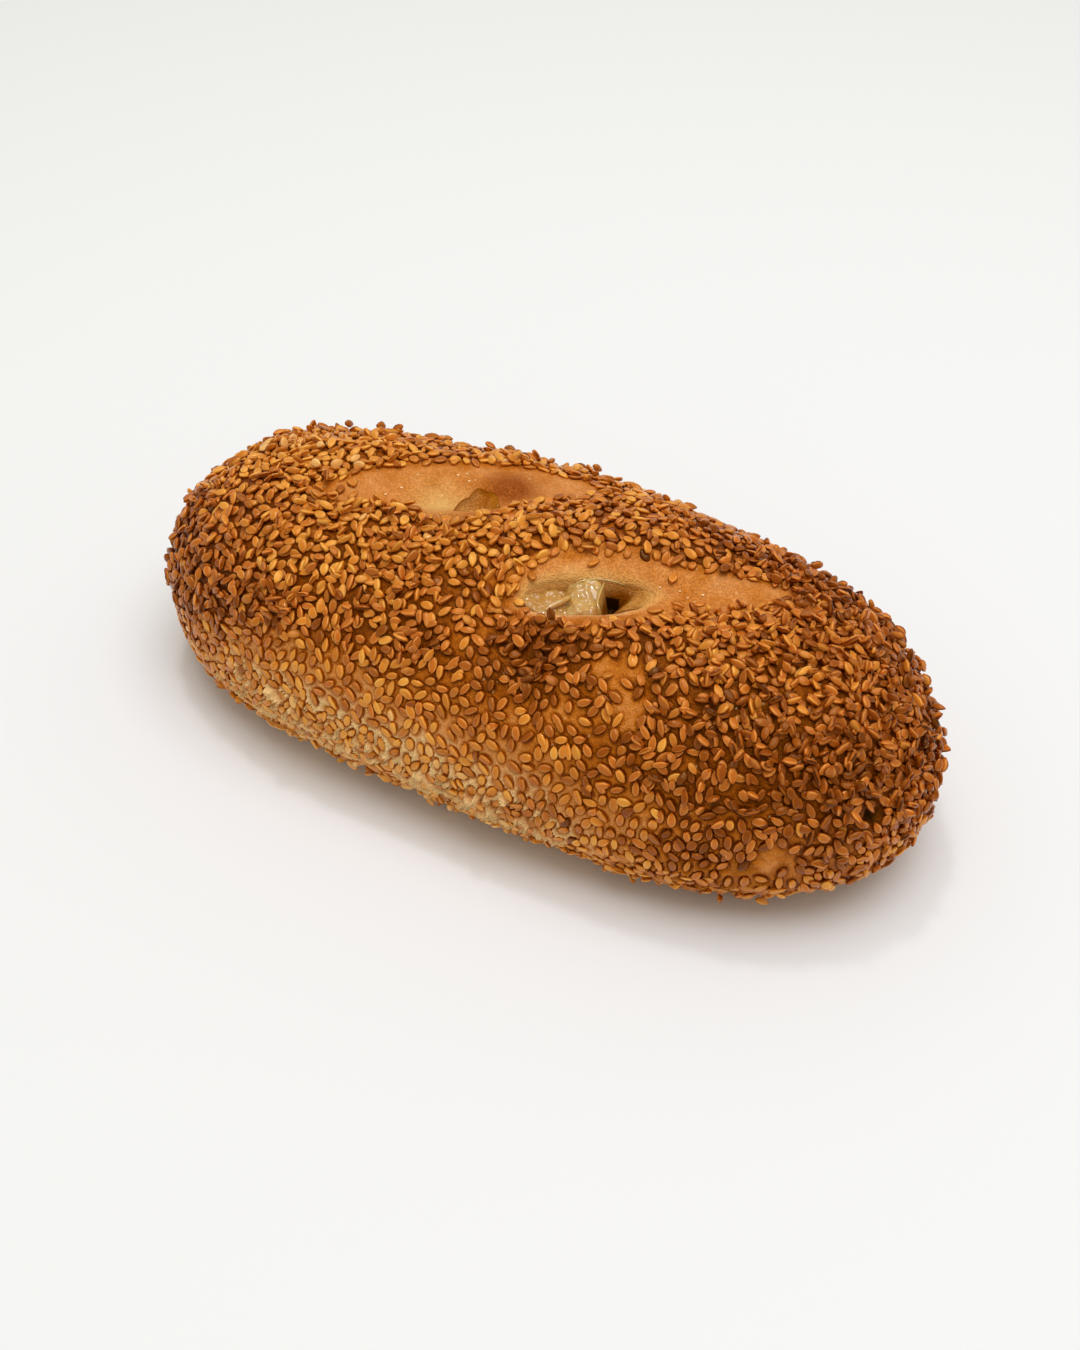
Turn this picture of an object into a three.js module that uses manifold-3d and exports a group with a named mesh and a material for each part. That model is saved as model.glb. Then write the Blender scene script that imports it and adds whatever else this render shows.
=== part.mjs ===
// A loaf-shaped simit: a fat oblong sesame bread with two slanting clefts along its top.
// The dough is bare in the clefts, and each has torn open into a small pocket of moist crumb.
//
// Millimetres, +Z up. X runs along the loaf, -Y is its front. The origin is the middle of the
// footprint, on the surface that the loaf stands on.
// The loaf is one solid: dough, with sesame seeds fused into its skin, less the two pockets.

import * as THREE from "three";
import { mergeVertices } from "three/addons/utils/BufferGeometryUtils.js";
import Module from "manifold-3d";

const wasm = await Module();
wasm.setup();

// ---------------------------------------------------------------- driving dimensions

const LENGTH = 177.5; // dough without its seeds
const BACK_HALF_WIDTH = 43;
const FRONT_HALF_WIDTH = 41.8;
const HEIGHT = 51;
const WAIST_HEIGHT = 16.6; // where the cross-section is widest
const BOW = 3.2; // the middle bends this far to the back
const ACROSS_SHIFT = -3.8; // puts the footprint's middle on the X axis

// A cross-section is a superellipse, and each side of the loaf closes at its ends as
// sqrt(1 - |s|^e): a larger e gives a blunter end.
const SECTION_POWER = 2.37;
const END_POWER = {
  back: { left: 1.5, right: 2.9 },
  front: { left: 3.1, right: 2.9 },
  top: { left: 5.4, right: 3.5 },
  under: { left: 6, right: 6 },
};
const UNDER_DEPTH = 1.12; // share of the waist height: past 1 the belly is cut flat to stand on

const STEPS_ALONG = 42;
const STEPS_OVER = 26; // round the section over the top, from waist to waist
const STEPS_UNDER = 10;
const STEPS_ROUND = STEPS_OVER + STEPS_UNDER;

// The relief of the top fades in between these shares of a section's rise above the waist.
const RELIEF_STARTS = 0.05;
const RELIEF_FULL = 0.75;

// ---------------------------------------------------------------- clefts and pockets

// A cleft is a valley in the top: centre and turn in the plan, half length, depth, and how wide
// its long back slope and its short front slope are on both sides of its deepest line.
const CLEFTS = [
  { x: -20.5, y: 4.5, turn: 32, halfLength: 38, depth: 4.2, deepest: -1.5, back: 8.6, front: 5.4 },
  { x: 27.5, y: -8.3, turn: 31, halfLength: 36, depth: 5.2, deepest: 2, back: 8.6, front: 5 },
];

// A pocket is a slanted hollow in a cleft: along and across place it in the cleft, and below is
// how far its middle lies under the uncut top. It leans to the front as it goes down.
const POCKETS = [
  { cleft: 0, along: 1, across: -2.6, below: 7.0, semiAxes: [6.6, 5.6, 5.8], lean: 25 },
  { cleft: 1, along: -10, across: 1.6, below: 8.2, semiAxes: [13.8, 6, 7], lean: 20 },
];

const HOLLOW_SIDES = 16;
const HOLLOW_RINGS = 10;

// Crumb that swells up inside the front pocket and fills its left part.
const CRUMB_SWELL = { cleft: 1, along: -15.5, across: 0.4, below: 13.2, semiAxes: [9.5, 7, 6.4] };

// A shallow crease runs down the front from the front cleft's left end.
const CREASE = { x: 14, y: -28.4, turn: -37, halfLength: 12, depth: 1.6, halfWidth: 3.4 };

// Low swells of the dough where the two strands cross under the skin.
const SWELLS = [
  { x: 4, y: 1, turn: 31, halfLength: 34, halfWidth: 9, height: 1.4 },
  { x: 34, y: -25, turn: 14, halfLength: 16, halfWidth: 9, height: 1.4 },
  { x: -42, y: -18, turn: 24, halfLength: 24, halfWidth: 13, height: 1.0 },
];

// ---------------------------------------------------------------- sesame

const SEED_LENGTH = 3.2;
const SEED_WIDTH = 2.0;
const SEED_HEIGHT = 0.95; // of its ridge above its rim
const SEED_ROOT = 0.9; // depth of the dough's grip under the rim
const SEED_SUNK = 0.1; // the rim lies this far inside the skin
const SEED_COUNT = 270;
const SEED_SPACING = 7.6; // least distance between two middles
const LOWEST_SEED = 2.6; // height above the table
const BARE_SHARE = 0.3; // a cleft is bare where it is deeper than this share of its depth
const FIRST_DRAW = 7;
const MOST_TRIES = 60000;

// ---------------------------------------------------------------- small helpers

const power = (value, exponent) => Math.sign(value) * Math.abs(value) ** exponent;
const radians = THREE.MathUtils.degToRad;

// Repeatable random numbers from 0 to 1.
function randomDraws(seed) {
  let state = seed >>> 0;
  return () => {
    state = (state + 0x6d2b79f5) >>> 0;
    let t = Math.imul(state ^ (state >>> 15), 1 | state);
    t = (t + Math.imul(t ^ (t >>> 7), 61 | t)) ^ t;
    return ((t ^ (t >>> 14)) >>> 0) / 4294967296;
  };
}

// A plan point in the frame of something that is turned about the vertical: [along, across].
function inFrame({ x, y, turn }, px, py) {
  const c = Math.cos(radians(turn));
  const s = Math.sin(radians(turn));
  return [c * (px - x) + s * (py - y), -s * (px - x) + c * (py - y)];
}

// A closed geometry as a manifold-3d solid.
function solidOf(geometry) {
  const bare = geometry.clone();
  bare.deleteAttribute("normal");
  bare.deleteAttribute("uv");
  const merged = mergeVertices(bare, 1e-4);
  return new wasm.Manifold(
    new wasm.Mesh({
      numProp: 3,
      vertProperties: merged.attributes.position.array,
      triVerts: new Uint32Array(merged.index.array),
    }),
  );
}

// ---------------------------------------------------------------- the dough's skin

// How the loaf closes towards its ends: 1 in the middle, 0 at s = -1 and s = 1.
function closing(s, { left, right }) {
  return Math.sqrt(Math.max(0, 1 - Math.abs(s) ** (s < 0 ? left : right)));
}

// The share of a cleft's full depth at a plan point: 1 at the middle of its deepest line.
function cleftShare(cleft, px, py) {
  const [along, across] = inFrame(cleft, px, py);
  const lengthwise = Math.max(0, 1 - (along / cleft.halfLength) ** 2) ** 1.5;
  const fromDeepest = across - cleft.deepest;
  const slope = fromDeepest > 0 ? cleft.back : cleft.front;
  return lengthwise * Math.exp(-((fromDeepest / slope) ** 2));
}

// A long low mound's share of its full height at a plan point.
function bump({ halfLength, halfWidth, ...place }, px, py) {
  const [along, across] = inFrame(place, px, py);
  return Math.exp(-((along / halfLength) ** 2) - (across / halfWidth) ** 2);
}

// Height added to the top by swells, and taken away by the clefts and the crease.
function reliefAt(px, py) {
  let height = -CREASE.depth * bump(CREASE, px, py);
  for (const swell of SWELLS) height += swell.height * bump(swell, px, py);
  for (const cleft of CLEFTS) height -= cleft.depth * cleftShare(cleft, px, py);
  return height;
}

// A skin point: s runs from end to end, t round the section from the back over the top.
function skinPoint(s, t) {
  const c = Math.cos(t);
  const r = Math.sin(t);
  const reach =
    c > 0
      ? BACK_HALF_WIDTH * closing(s, END_POWER.back)
      : FRONT_HALF_WIDTH * closing(s, END_POWER.front);
  const rise =
    r > 0
      ? (HEIGHT - WAIST_HEIGHT) * closing(s, END_POWER.top)
      : WAIST_HEIGHT * UNDER_DEPTH * closing(s, END_POWER.under);
  const x = (LENGTH / 2) * s;
  const y = ACROSS_SHIFT + BOW * (1 - s * s) + reach * power(c, 2 / SECTION_POWER);
  const z = WAIST_HEIGHT + rise * power(r, 2 / SECTION_POWER);
  const onTop = THREE.MathUtils.smoothstep(r, RELIEF_STARTS, RELIEF_FULL);
  return new THREE.Vector3(x, y, z + onTop * reliefAt(x, y));
}

// The angle of a section's j-th point: the top has more points than the belly.
function angleOf(j) {
  if (j <= STEPS_OVER) return (Math.PI * j) / STEPS_OVER;
  return Math.PI + (Math.PI * (j - STEPS_OVER)) / STEPS_UNDER;
}

// The dough as one closed skin of rings between two end points.
function doughGeometry() {
  const points = [];
  const faces = [];
  for (let i = 1; i < STEPS_ALONG; i++) {
    const s = -Math.cos((Math.PI * i) / STEPS_ALONG);
    for (let j = 0; j < STEPS_ROUND; j++) {
      points.push(...skinPoint(s, angleOf(j)).toArray());
    }
  }
  const ring = (i, j) => i * STEPS_ROUND + (j % STEPS_ROUND);
  for (let i = 0; i < STEPS_ALONG - 2; i++) {
    for (let j = 0; j < STEPS_ROUND; j++) {
      const [a, b] = [ring(i, j), ring(i, j + 1)];
      const [c, d] = [ring(i + 1, j + 1), ring(i + 1, j)];
      faces.push(a, b, c, a, c, d);
    }
  }
  const leftEnd = points.length / 3;
  points.push(...skinPoint(-1, 0).toArray(), ...skinPoint(1, 0).toArray());
  for (let j = 0; j < STEPS_ROUND; j++) {
    faces.push(leftEnd, ring(0, j + 1), ring(0, j));
    faces.push(leftEnd + 1, ring(STEPS_ALONG - 2, j), ring(STEPS_ALONG - 2, j + 1));
  }
  const geometry = new THREE.BufferGeometry();
  geometry.setAttribute("position", new THREE.Float32BufferAttribute(points, 3));
  geometry.setIndex(faces);
  return geometry;
}

// ---------------------------------------------------------------- pockets

// An ellipsoid placed in a cleft, leaning towards the loaf's front as it goes down.
function hollow({ cleft, along, across, below, semiAxes, lean = 0 }) {
  const { x, y, turn } = CLEFTS[cleft];
  const place = new THREE.Matrix4().makeRotationZ(radians(turn));
  place.setPosition(x, y, HEIGHT - below);
  place.multiply(new THREE.Matrix4().makeTranslation(along, across, 0));
  place.multiply(new THREE.Matrix4().makeRotationX(radians(-lean)));
  place.multiply(new THREE.Matrix4().makeScale(...semiAxes));
  const ball = new THREE.SphereGeometry(1, HOLLOW_SIDES, HOLLOW_RINGS);
  return solidOf(ball.applyMatrix4(place));
}

// ---------------------------------------------------------------- seeds

// A drop pointed at one end, with a low ridge above its rim and a single root below.
function seedGeometry() {
  const half = SEED_LENGTH / 2;
  const wide = SEED_WIDTH / 2;
  const rim = [
    [-half, 0, 0],
    [-0.2 * half, -0.8 * wide, 0],
    [0.5 * half, -wide, 0],
    [half, 0, 0],
    [0.5 * half, wide, 0],
    [-0.2 * half, 0.8 * wide, 0],
  ];
  const ridge = [
    [-0.25 * half, 0, SEED_HEIGHT],
    [0.45 * half, 0, SEED_HEIGHT],
  ];
  const root = [0, 0, -SEED_ROOT];
  const [thin, thick, under] = [6, 7, 8];
  const faces = [0, 1, thin, 1, thick, thin, 1, 2, thick, 2, 3, thick];
  faces.push(3, 4, thick, 4, 5, thick, 5, thin, thick, 5, 0, thin);
  for (let j = 0; j < rim.length; j++) faces.push(under, (j + 1) % rim.length, j);
  const geometry = new THREE.BufferGeometry();
  const points = [...rim, ...ridge, root].flat();
  geometry.setAttribute("position", new THREE.Float32BufferAttribute(points, 3));
  geometry.setIndex(faces);
  return geometry;
}

// Seeds stick everywhere but in the clefts' bare floors, at the pockets and under the belly.
function takesSeed(point) {
  if (point.z < LOWEST_SEED) return false;
  if (point.z < WAIST_HEIGHT) return true;
  return CLEFTS.every((cleft) => cleftShare(cleft, point.x, point.y) < BARE_SHARE);
}

// The skin's facets, each with its normal and the skin's area up to and with it.
function facetsOf(geometry) {
  const { position } = geometry.attributes;
  const { array } = geometry.index;
  const facets = [];
  let area = 0;
  for (let i = 0; i < array.length; i += 3) {
    const triangle = new THREE.Triangle();
    triangle.setFromAttributeAndIndices(position, array[i], array[i + 1], array[i + 2]);
    area += triangle.getArea();
    facets.push({ triangle, area, normal: triangle.getNormal(new THREE.Vector3()) });
  }
  return facets;
}

// Seed places, drawn evenly over the skin's area and kept a set distance apart.
function seedPlaces(dough) {
  const draw = randomDraws(FIRST_DRAW);
  const facets = facetsOf(dough);
  const wholeArea = facets.at(-1).area;
  const places = [];
  for (let tries = 0; tries < MOST_TRIES && places.length < SEED_COUNT; tries++) {
    const at = draw() * wholeArea;
    const { triangle, normal } = facets.find(({ area }) => area >= at);
    const [along, across] = [Math.sqrt(draw()), draw()];
    const turn = 2 * Math.PI * draw();
    const point = triangle.a.clone().multiplyScalar(1 - along);
    point.addScaledVector(triangle.b, along * (1 - across));
    point.addScaledVector(triangle.c, along * across);
    if (!takesSeed(point)) continue;
    if (places.some((other) => other.point.distanceTo(point) < SEED_SPACING)) continue;
    places.push({ point, normal, turn });
  }
  return places;
}

function seedSolids(dough) {
  const seed = seedGeometry();
  const up = new THREE.Vector3(0, 0, 1);
  const trueSize = new THREE.Vector3(1, 1, 1);
  return seedPlaces(dough).map(({ point, normal, turn }) => {
    const spin = new THREE.Quaternion().setFromAxisAngle(normal, turn);
    const lie = spin.multiply(new THREE.Quaternion().setFromUnitVectors(up, normal));
    const middle = point.clone().addScaledVector(normal, -SEED_SUNK);
    return solidOf(seed.clone().applyMatrix4(new THREE.Matrix4().compose(middle, lie, trueSize)));
  });
}

// ---------------------------------------------------------------- the loaf

// Everything under the table line, to cut the belly flat.
function underTable() {
  const block = new THREE.BoxGeometry(2 * LENGTH, 2 * LENGTH, HEIGHT);
  return solidOf(block.translate(0, 0, -HEIGHT / 2));
}

// The main body alone: loose scraps are dropped, and a hollow sealed by the seeds is filled.
function largestOf(solid) {
  const bodies = solid.decompose();
  return bodies.reduce((best, body) => (body.volume() > best.volume() ? body : best));
}

function loafGeometry() {
  const dough = doughGeometry();
  const swell = hollow(CRUMB_SWELL);
  const pockets = POCKETS.map((pocket) => hollow(pocket).subtract(swell));
  const bread = wasm.Manifold.difference([solidOf(dough), underTable(), ...pockets]);
  const mesh = largestOf(wasm.Manifold.union([bread, ...seedSolids(dough)])).getMesh();
  const geometry = new THREE.BufferGeometry();
  geometry.setAttribute("position", new THREE.BufferAttribute(mesh.vertProperties, 3));
  geometry.setIndex(new THREE.BufferAttribute(mesh.triVerts, 1));
  geometry.computeVertexNormals();
  return geometry;
}

const crust = new THREE.MeshStandardMaterial({ color: 0xb4712f, roughness: 0.6, metalness: 0 });

const simit = new THREE.Mesh(loafGeometry(), crust);
simit.name = "simit";

const part = new THREE.Group();
part.add(simit);

export default part;
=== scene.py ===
"""The looks of a loaf-shaped simit: a fat oblong sesame bread with two slanting clefts on top.

The dough is a closed skin worked out as a superellipse that closes towards both ends, and it
swells between the seeds. The low front and each cleft have finer skins of their own. A cleft's
dives into the torn pocket at its foot, and pieces of moist crumb lie in the front pocket. Sesame
seeds of five bakings lie on the dough, heaped in layers along the top and at the right end.
Lengths are in millimetres in the part's frame until a mesh is made.
"""

import math

import bpy
import numpy as np
from mathutils import Matrix, Vector


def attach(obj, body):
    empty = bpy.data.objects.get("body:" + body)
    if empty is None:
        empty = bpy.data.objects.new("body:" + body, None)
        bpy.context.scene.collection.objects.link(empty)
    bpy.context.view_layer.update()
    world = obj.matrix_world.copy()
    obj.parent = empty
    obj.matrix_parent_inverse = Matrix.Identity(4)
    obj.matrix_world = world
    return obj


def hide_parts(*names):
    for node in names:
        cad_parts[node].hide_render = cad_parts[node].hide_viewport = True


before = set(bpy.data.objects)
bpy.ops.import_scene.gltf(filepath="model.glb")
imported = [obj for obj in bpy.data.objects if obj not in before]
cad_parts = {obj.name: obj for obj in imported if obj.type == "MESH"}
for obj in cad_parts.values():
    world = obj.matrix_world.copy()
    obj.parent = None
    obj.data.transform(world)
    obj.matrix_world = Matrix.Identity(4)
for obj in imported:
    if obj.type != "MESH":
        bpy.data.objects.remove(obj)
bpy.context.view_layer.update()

MM = 0.001

# ---- the loaf's dimensions

X, Y, Z = range(3)

LENGTH = 177.5
BACK_HALF_WIDTH = 43.0
FRONT_HALF_WIDTH = 41.8
HEIGHT = 51.0
WAIST_HEIGHT = 16.6  # where the section is widest
BOW = 3.2  # the middle bends this far to the back
ACROSS_SHIFT = -3.8  # puts the footprint's middle on the X axis
SECTION_POWER = 2.37  # 2 is an ellipse, and more is squarer
# Each side closes at the loaf's two ends with a power of its own, and more is blunter.
BACK_END_POWER = (1.5, 3.3)
FRONT_END_POWER = (3.1, 2.75)
TOP_END_POWER = (5.4, 3.5)
UNDER_END_POWER = (6.0, 4.0)
UNDER_DEPTH = 1.12  # share of the waist height: past 1 the belly is cut flat to stand on
# The relief of the top fades in between these shares of a section's rise above the waist.
RELIEF_STARTS = 0.05
RELIEF_FULL = 0.75

CLEFTS = [
    dict(x=-20.5, y=4.5, turn=32, half_length=38, depth=4.2, deepest=-1.5, back=8.6, front=5.4),
    dict(x=27.5, y=-8.3, turn=31, half_length=36, depth=5.2, deepest=2.0, back=8.6, front=5.0),
]
CREASE = dict(x=14, y=-28.4, turn=-37, half_length=12, half_width=3.4, height=-1.6)
SWELLS = [
    dict(x=4, y=1, turn=31, half_length=34, half_width=9, height=1.4),
    dict(x=34, y=-25, turn=14, half_length=16, half_width=9, height=1.4),
    dict(x=-42, y=-18, turn=24, half_length=24, half_width=13, height=1.0),
]

# Bare dough in each cleft, and the mouth of its pocket, as outlines along and across the cleft.
BARE_OUTLINES = [
    [(29.5, 5), (26, 8), (20, 10.2), (13, 11.6), (7, 11.8), (-0.5, 11.2), (-8, 10.6), (-16, 9.3),
     (-24, 7), (-31, 2.2), (-28.6, -2), (-21, -2.2), (-16, -3), (-12.5, -4.9), (-8.6, -10.4),
     (-3, -11.6), (2, -11.8), (6.8, -10.8), (9.8, -4.2), (13, -1), (17.5, -0.3), (24, 0.8)],
    [(32, 4.6), (28.5, 8), (20, 9.7), (10.5, 11.2), (6, 12.6), (0.5, 14.2), (-7.6, 14.6),
     (-15.6, 12.9), (-22, 10.6), (-24.4, 7.8), (-24.5, 4.6), (-23.2, 1.3), (-20.4, -2.4), (-14, -5.3),
     (-8, -5.9), (-1, -5.2), (7.6, -2.4), (15.6, -0.2), (23.5, 0.9)],
]
MOUTHS = [
    [(-2.4, -7.9), (-2.7, -3.4), (-2.2, -1.2), (0.4, 1.5), (2.3, 3.9), (4.3, 2.9), (6.3, 1.8), (6.6, -0.6),
     (5.8, -6.0), (2, -8.4)],
    [(-22.9, 4.0), (-22.3, 5.8), (-20.4, 7.4), (-15.7, 8.5), (-11.7, 8.8), (-7.8, 8.8), (-2.8, 8.4),
     (1.2, 7.5), (3.4, 6.3), (2.8, 5.1), (1, 3.9), (-2.6, 2.6), (-6.8, 1.2), (-11.1, 0.2), (-16, 0.0),
     (-19.8, 0.7), (-22.2, 2.2)],
]
POCKETS = [
    dict(centre=(1.8, -1.8), half_axes=(4.8, 6.0), depth=4.2, shift=(0.3, 1.0), rounding=6,
         back_brow=(0.2, 0.15), front_brow=(0.5, 0.4), right_brow=(0.0, 1.0), blister=0.7),
    dict(centre=(-9.6, 4.0), half_axes=(13.0, 4.6), depth=6.0, shift=(4.3, 3.6), rounding=25,
         back_brow=(2.2, 1.3), front_brow=(0.8, 0.5), right_brow=(1.6, 0.2), blister=0.0),
]
# A pocket's brow is a quarter ellipse, as (reach outwards, drop). At the right it reaches out
# further and keeps a share of its drop. Rounding smooths an outline over that many degrees, and
# shift is how far the deepest place lies from the centre.
BORDER = 5.0  # how far a cleft's own skin runs under the seeds
BORDER_DIP = 1.0  # how far it has dived there
BLISTER = dict(middle=(8.2, 5.2), spread=(4.4, 3.2))  # the swell beside a pocket, along and across
CLEFTS_ABOVE = 30  # the clefts lie wholly above this height
# The low front has its own finer skin: its reach along the loaf, and in degrees round the section.
LOW_FRONT = dict(x=(-66.0, 72.0), turn=(150.0, 238.0))
LOW_FRONT_DIP = 1.2  # how far one of the two skins there dives under the other
LOW_FRONT_BACK = 3.0  # how far its plain inner face lies behind the dough

# Soft patches are rows of an amount, a middle and how far it spreads each way, or of an amount and
# the ramps that carry it, each as an axis with the places of its 0 and its 1.

# Small bare places outside the clefts, by how much paler they are.
BARE_SPOTS = [
    (0.42, (30.6, -25.8, 46.0), (5.6, 3.9, 6.0)),
    (0.32, (37.0, -30.3, 42.6), (3.0, 2.8, 4.0)),
    (0.08, (69.5, -31.4, 21.2), (5.4, 4.5, 5.0)),
    (0.08, (63.0, -34.8, 17.0), (3.4, 3.0, 2.2)),
    (0.1, (13.0, -28.0, 43.5), (2.6, 1.9, 2.6)),
    (0.0, (82.7, -18.1, 27.4), (2.9, 2.6, 2.6)),
]
# The last of them has a crater, a bubble that burst, which the crust's colour makes darker towards its
# middle.
CRATER = dict(middle=BARE_SPOTS[-1][1], radius=1.9, depth=2.0)

# Heaped seeds come down to this line on the loaf's side, as x and z.
HEAP_LINE = [(-88, 20), (-74, 23), (-51, 33), (-34, 36), (-14, 38), (4, 39), (16, 39.5), (23, 42),
             (43, 41.5), (61, 38), (69, 34), (75, 31.5), (82, 28), (88, 22)]
# Where they are heaped thicker, or thinner if negative.
HEAPS = [
    (0.9, (15, -25, 46), (7, 7, 8)),
    (0.2, (52, 18, 44), (20, 12, 14)),
    (-0.7, (26, 28, 42), (16, 9, 8)),
    (0.3, (64, 12, 42), (18, 24, 14)),
    (0.4, (80, 0, 25), (10, 24, 20)),
    (0.6, (-40, -9.5, 49), (9, 5, 6)),
    (0.4, (-60, 8, 47), (16, 10, 8)),
    (-0.8, (1, -21, 47), (7, 8, 8)),
    (-0.4, (4, -31, 43), (8, 5, 6)),
    (-0.5, (23, -33, 41), (8, 5, 7)),
    (-0.5, (46, -27, 43), (3.5, 6, 5)),
    (-0.4, (59, -12, 46), (6, 2.6, 5)),
]
# Where the low dough swells between its seeds.
LOW_SWELL = [(1, (Y, -16, -34), (Z, 34, 16), (Z, 1, 4), (X, -80, -62), (X, 80, 60))]
# What makes the crust browner, or paler if negative.
BROWNING_RAMPS = [
    (0.1, (Z, 14, 34)),
    (0.1, (X, 6, 30), (Z, 4, 12)),
    (0.06, (X, 45, 75)),
    (-0.3, (Y, -20, -36), (Z, 38, 22), (X, -78, -50), (X, 62, 20)),
    (0.1, (X, 30, 50), (Y, -10, -24), (Z, 8, 16)),
    (0.06, (X, 46, 58), (Z, 16, 8)),
    # Painted shade: the front above the waist made browner, as it gets less light.
    (0.06, (Y, -12, -24), (Z, 24, 32)),
    (0.12, (X, -36, -60), (Y, 0, -20), (Z, 12, 20)),
]
BROWNING_SPOTS = [(0.15, (6, -34, 41), (30, 8, 7)), (0.42, (14, -25, 46.5), (9, 7, 8))]
# What makes seeds more toasted, or less if negative.
TOASTING_RAMPS = [
    (0.37, (X, -4, 60), (Z, 2, 20)),
    (-0.22, (Y, -20, -36), (Z, 26, 14), (X, 60, 30)),
    (-0.12, (Y, 0, -20), (Z, 14, 9)),
    (-0.12, (Z, 38, 44)),
    (-0.14, (X, -20, -50), (Z, 38, 44)),
    (0.27, (X, -34, -58), (Y, 0, -20)),
    # Painted shade: seeds on the front above the waist made darker, as it gets less light.
    (0.09, (Y, -12, -24), (Z, 24, 32)),
    (0.1, (X, 64, 76), (Z, 18, 26)),
    (0.2, (X, 42, 66), (Y, -10, -22), (Z, 24, 34)),
    (0.1, (X, -18, -4), (X, 34, 20), (Y, -20, -34), (Z, 12, 18)),
    (0.12, (X, 16, 34), (Z, 26, 20)),
    (-0.12, (X, 30, 44), (Z, 32, 40)),
    (0.26, (X, 14, 28), (Y, 4, 16), (Z, 36, 44)),
    (-0.11, (X, 70, 82)),
]
TOASTING_SPOTS = [
    (0.88, (14, -25, 46.5), (8, 6, 8)),
    (0.22, (48, -28, 40), (16, 8, 10)),
    (0.08, (-10, -31, 42), (16, 8, 7)),
    (0.15, (14, -35, 40), (20, 8, 7)),
    (0.2, (61, -34, 26), (12, 10, 7)),
    (-0.06, (61, -12, 45), (10, 8, 6)),
]

# Seeds that lie alone on bare dough, as x and y, and how toasted they are.
LONE_SEEDS = [(14.0, -3.1), (4.9, -12.0), (28.8, 2.7), (30.6, -27.2), (3.3, -15.6), (-43.8, -8.4),
              (-42.9, -5.2), (-44.4, -1.9)]
LONE_TONE = 0.45
# Pale specks on the bare dough, painted highlights for its small glossy glints: which cleft, along it and
# across it.
GLINT_SPECKS = [(0, -10.5, 6.8), (0, -13.9, 3.3), (0, -1.9, 7.1), (0, 0.0, 7.6), (0, 0.4, 5.6),
         (0, -17.2, 1.4), (1, 6.5, 9.7), (1, 11.0, 4.1), (1, 8.1, 6.6), (1, 4.2, 7.4),
         (1, 9.6, 5.2), (1, 12.6, 5.6)]

SEED_SIZE = np.array([3.05, 1.86, 1.12])  # length, width and thickness
SEED_SPREAD = 0.115  # how much sizes differ, as a share
SEED_DRAWS = 16000  # places drawn in each round


# ---- arithmetic on whole arrays


def smooth(low, high, value):
    """A ramp from 0 at low to 1 at high, level at both ends: 3 t^2 - 2 t^3."""
    t = np.clip((value - low) / (high - low), 0.0, 1.0)
    return t * t * (3 - 2 * t)


def signed_power(value, exponent):
    """|value|^exponent with the sign of value."""
    return np.sign(value) * np.abs(value) ** exponent


def noise(points, cell, seed):
    """Smooth noise from -1 to 1: random values on a cubic lattice, blended between its corners."""
    table = np.random.default_rng(seed).uniform(-1, 1, (32, 32, 32))
    place = np.asarray(points, float) / cell
    low = np.floor(place).astype(int)
    part = place - low
    part = part * part * (3 - 2 * part)
    total = np.zeros(place.shape[:-1])
    for corner in np.ndindex(2, 2, 2):
        index = (low + corner) % 32
        weight = np.prod(np.where(corner, part, 1 - part), axis=-1)
        total += weight * table[index[..., 0], index[..., 1], index[..., 2]]
    return total


def bell(points, middle, spread):
    """exp(-|(point - middle) / spread|^2), a soft blob in space."""
    return np.exp(-np.sum(((points - np.array(middle)) / spread) ** 2, -1))


def soft_patches(points, ramps=(), spots=()):
    """The sum of soft patches: each amount times its ramps, or times a bell about its middle."""
    total = sum(amount * bell(points, middle, spread) for amount, middle, spread in spots)
    for amount, *ends in ramps:
        total = total + amount * math.prod(smooth(*places, points[..., axis]) for axis, *places in ends)
    return total


def in_frame(place, x, y):
    """Plan coordinates along and across something turned about the vertical."""
    c = math.cos(math.radians(place["turn"]))
    s = math.sin(math.radians(place["turn"]))
    dx = x - place["x"]
    dy = y - place["y"]
    return c * dx + s * dy, -s * dx + c * dy


def from_frame(place, along, across):
    """The plan point at these coordinates along and across something turned."""
    c = math.cos(math.radians(place["turn"]))
    s = math.sin(math.radians(place["turn"]))
    return place["x"] + c * along - s * across, place["y"] + s * along + c * across


def unit(vectors):
    """Vectors divided by their lengths."""
    return vectors / np.maximum(np.linalg.norm(vectors, axis=-1, keepdims=True), 1e-12)


def spline(knots, t):
    """A smooth curve through evenly timed knots, by Catmull and Rom's cubic between each two."""
    knots = np.asarray(knots, float)
    padded = np.concatenate([2 * knots[:1] - knots[1:2], knots, 2 * knots[-1:] - knots[-2:-1]])
    place = np.clip(t, 0, 1) * (len(knots) - 1)
    k = np.minimum(place.astype(int), len(knots) - 2)
    f = (place - k)[:, None]
    a, b, c, d = (padded[k + i] for i in range(4))
    return 0.5 * (2 * b + (c - a) * f + (2 * a - 5 * b + 4 * c - d) * f**2
                  + (3 * b - a - 3 * c + d) * f**3)


# ---- the loaf's form


def closing(s, powers):
    """How far a side stands out at s: the root of 1 - |s|^e, with its own e at each end."""
    e = np.where(s < 0, powers[0], powers[1])
    return np.sqrt(np.maximum(0, 1 - np.abs(s) ** e))


def mound(place, x, y):
    """A long low hill in the plan: height times exp(-(along/half length)^2 - (across/half width)^2)."""
    along, across = in_frame(place, x, y)
    fall = (along / place["half_length"]) ** 2 + (across / place["half_width"]) ** 2
    return place["height"] * np.exp(-fall)


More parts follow.
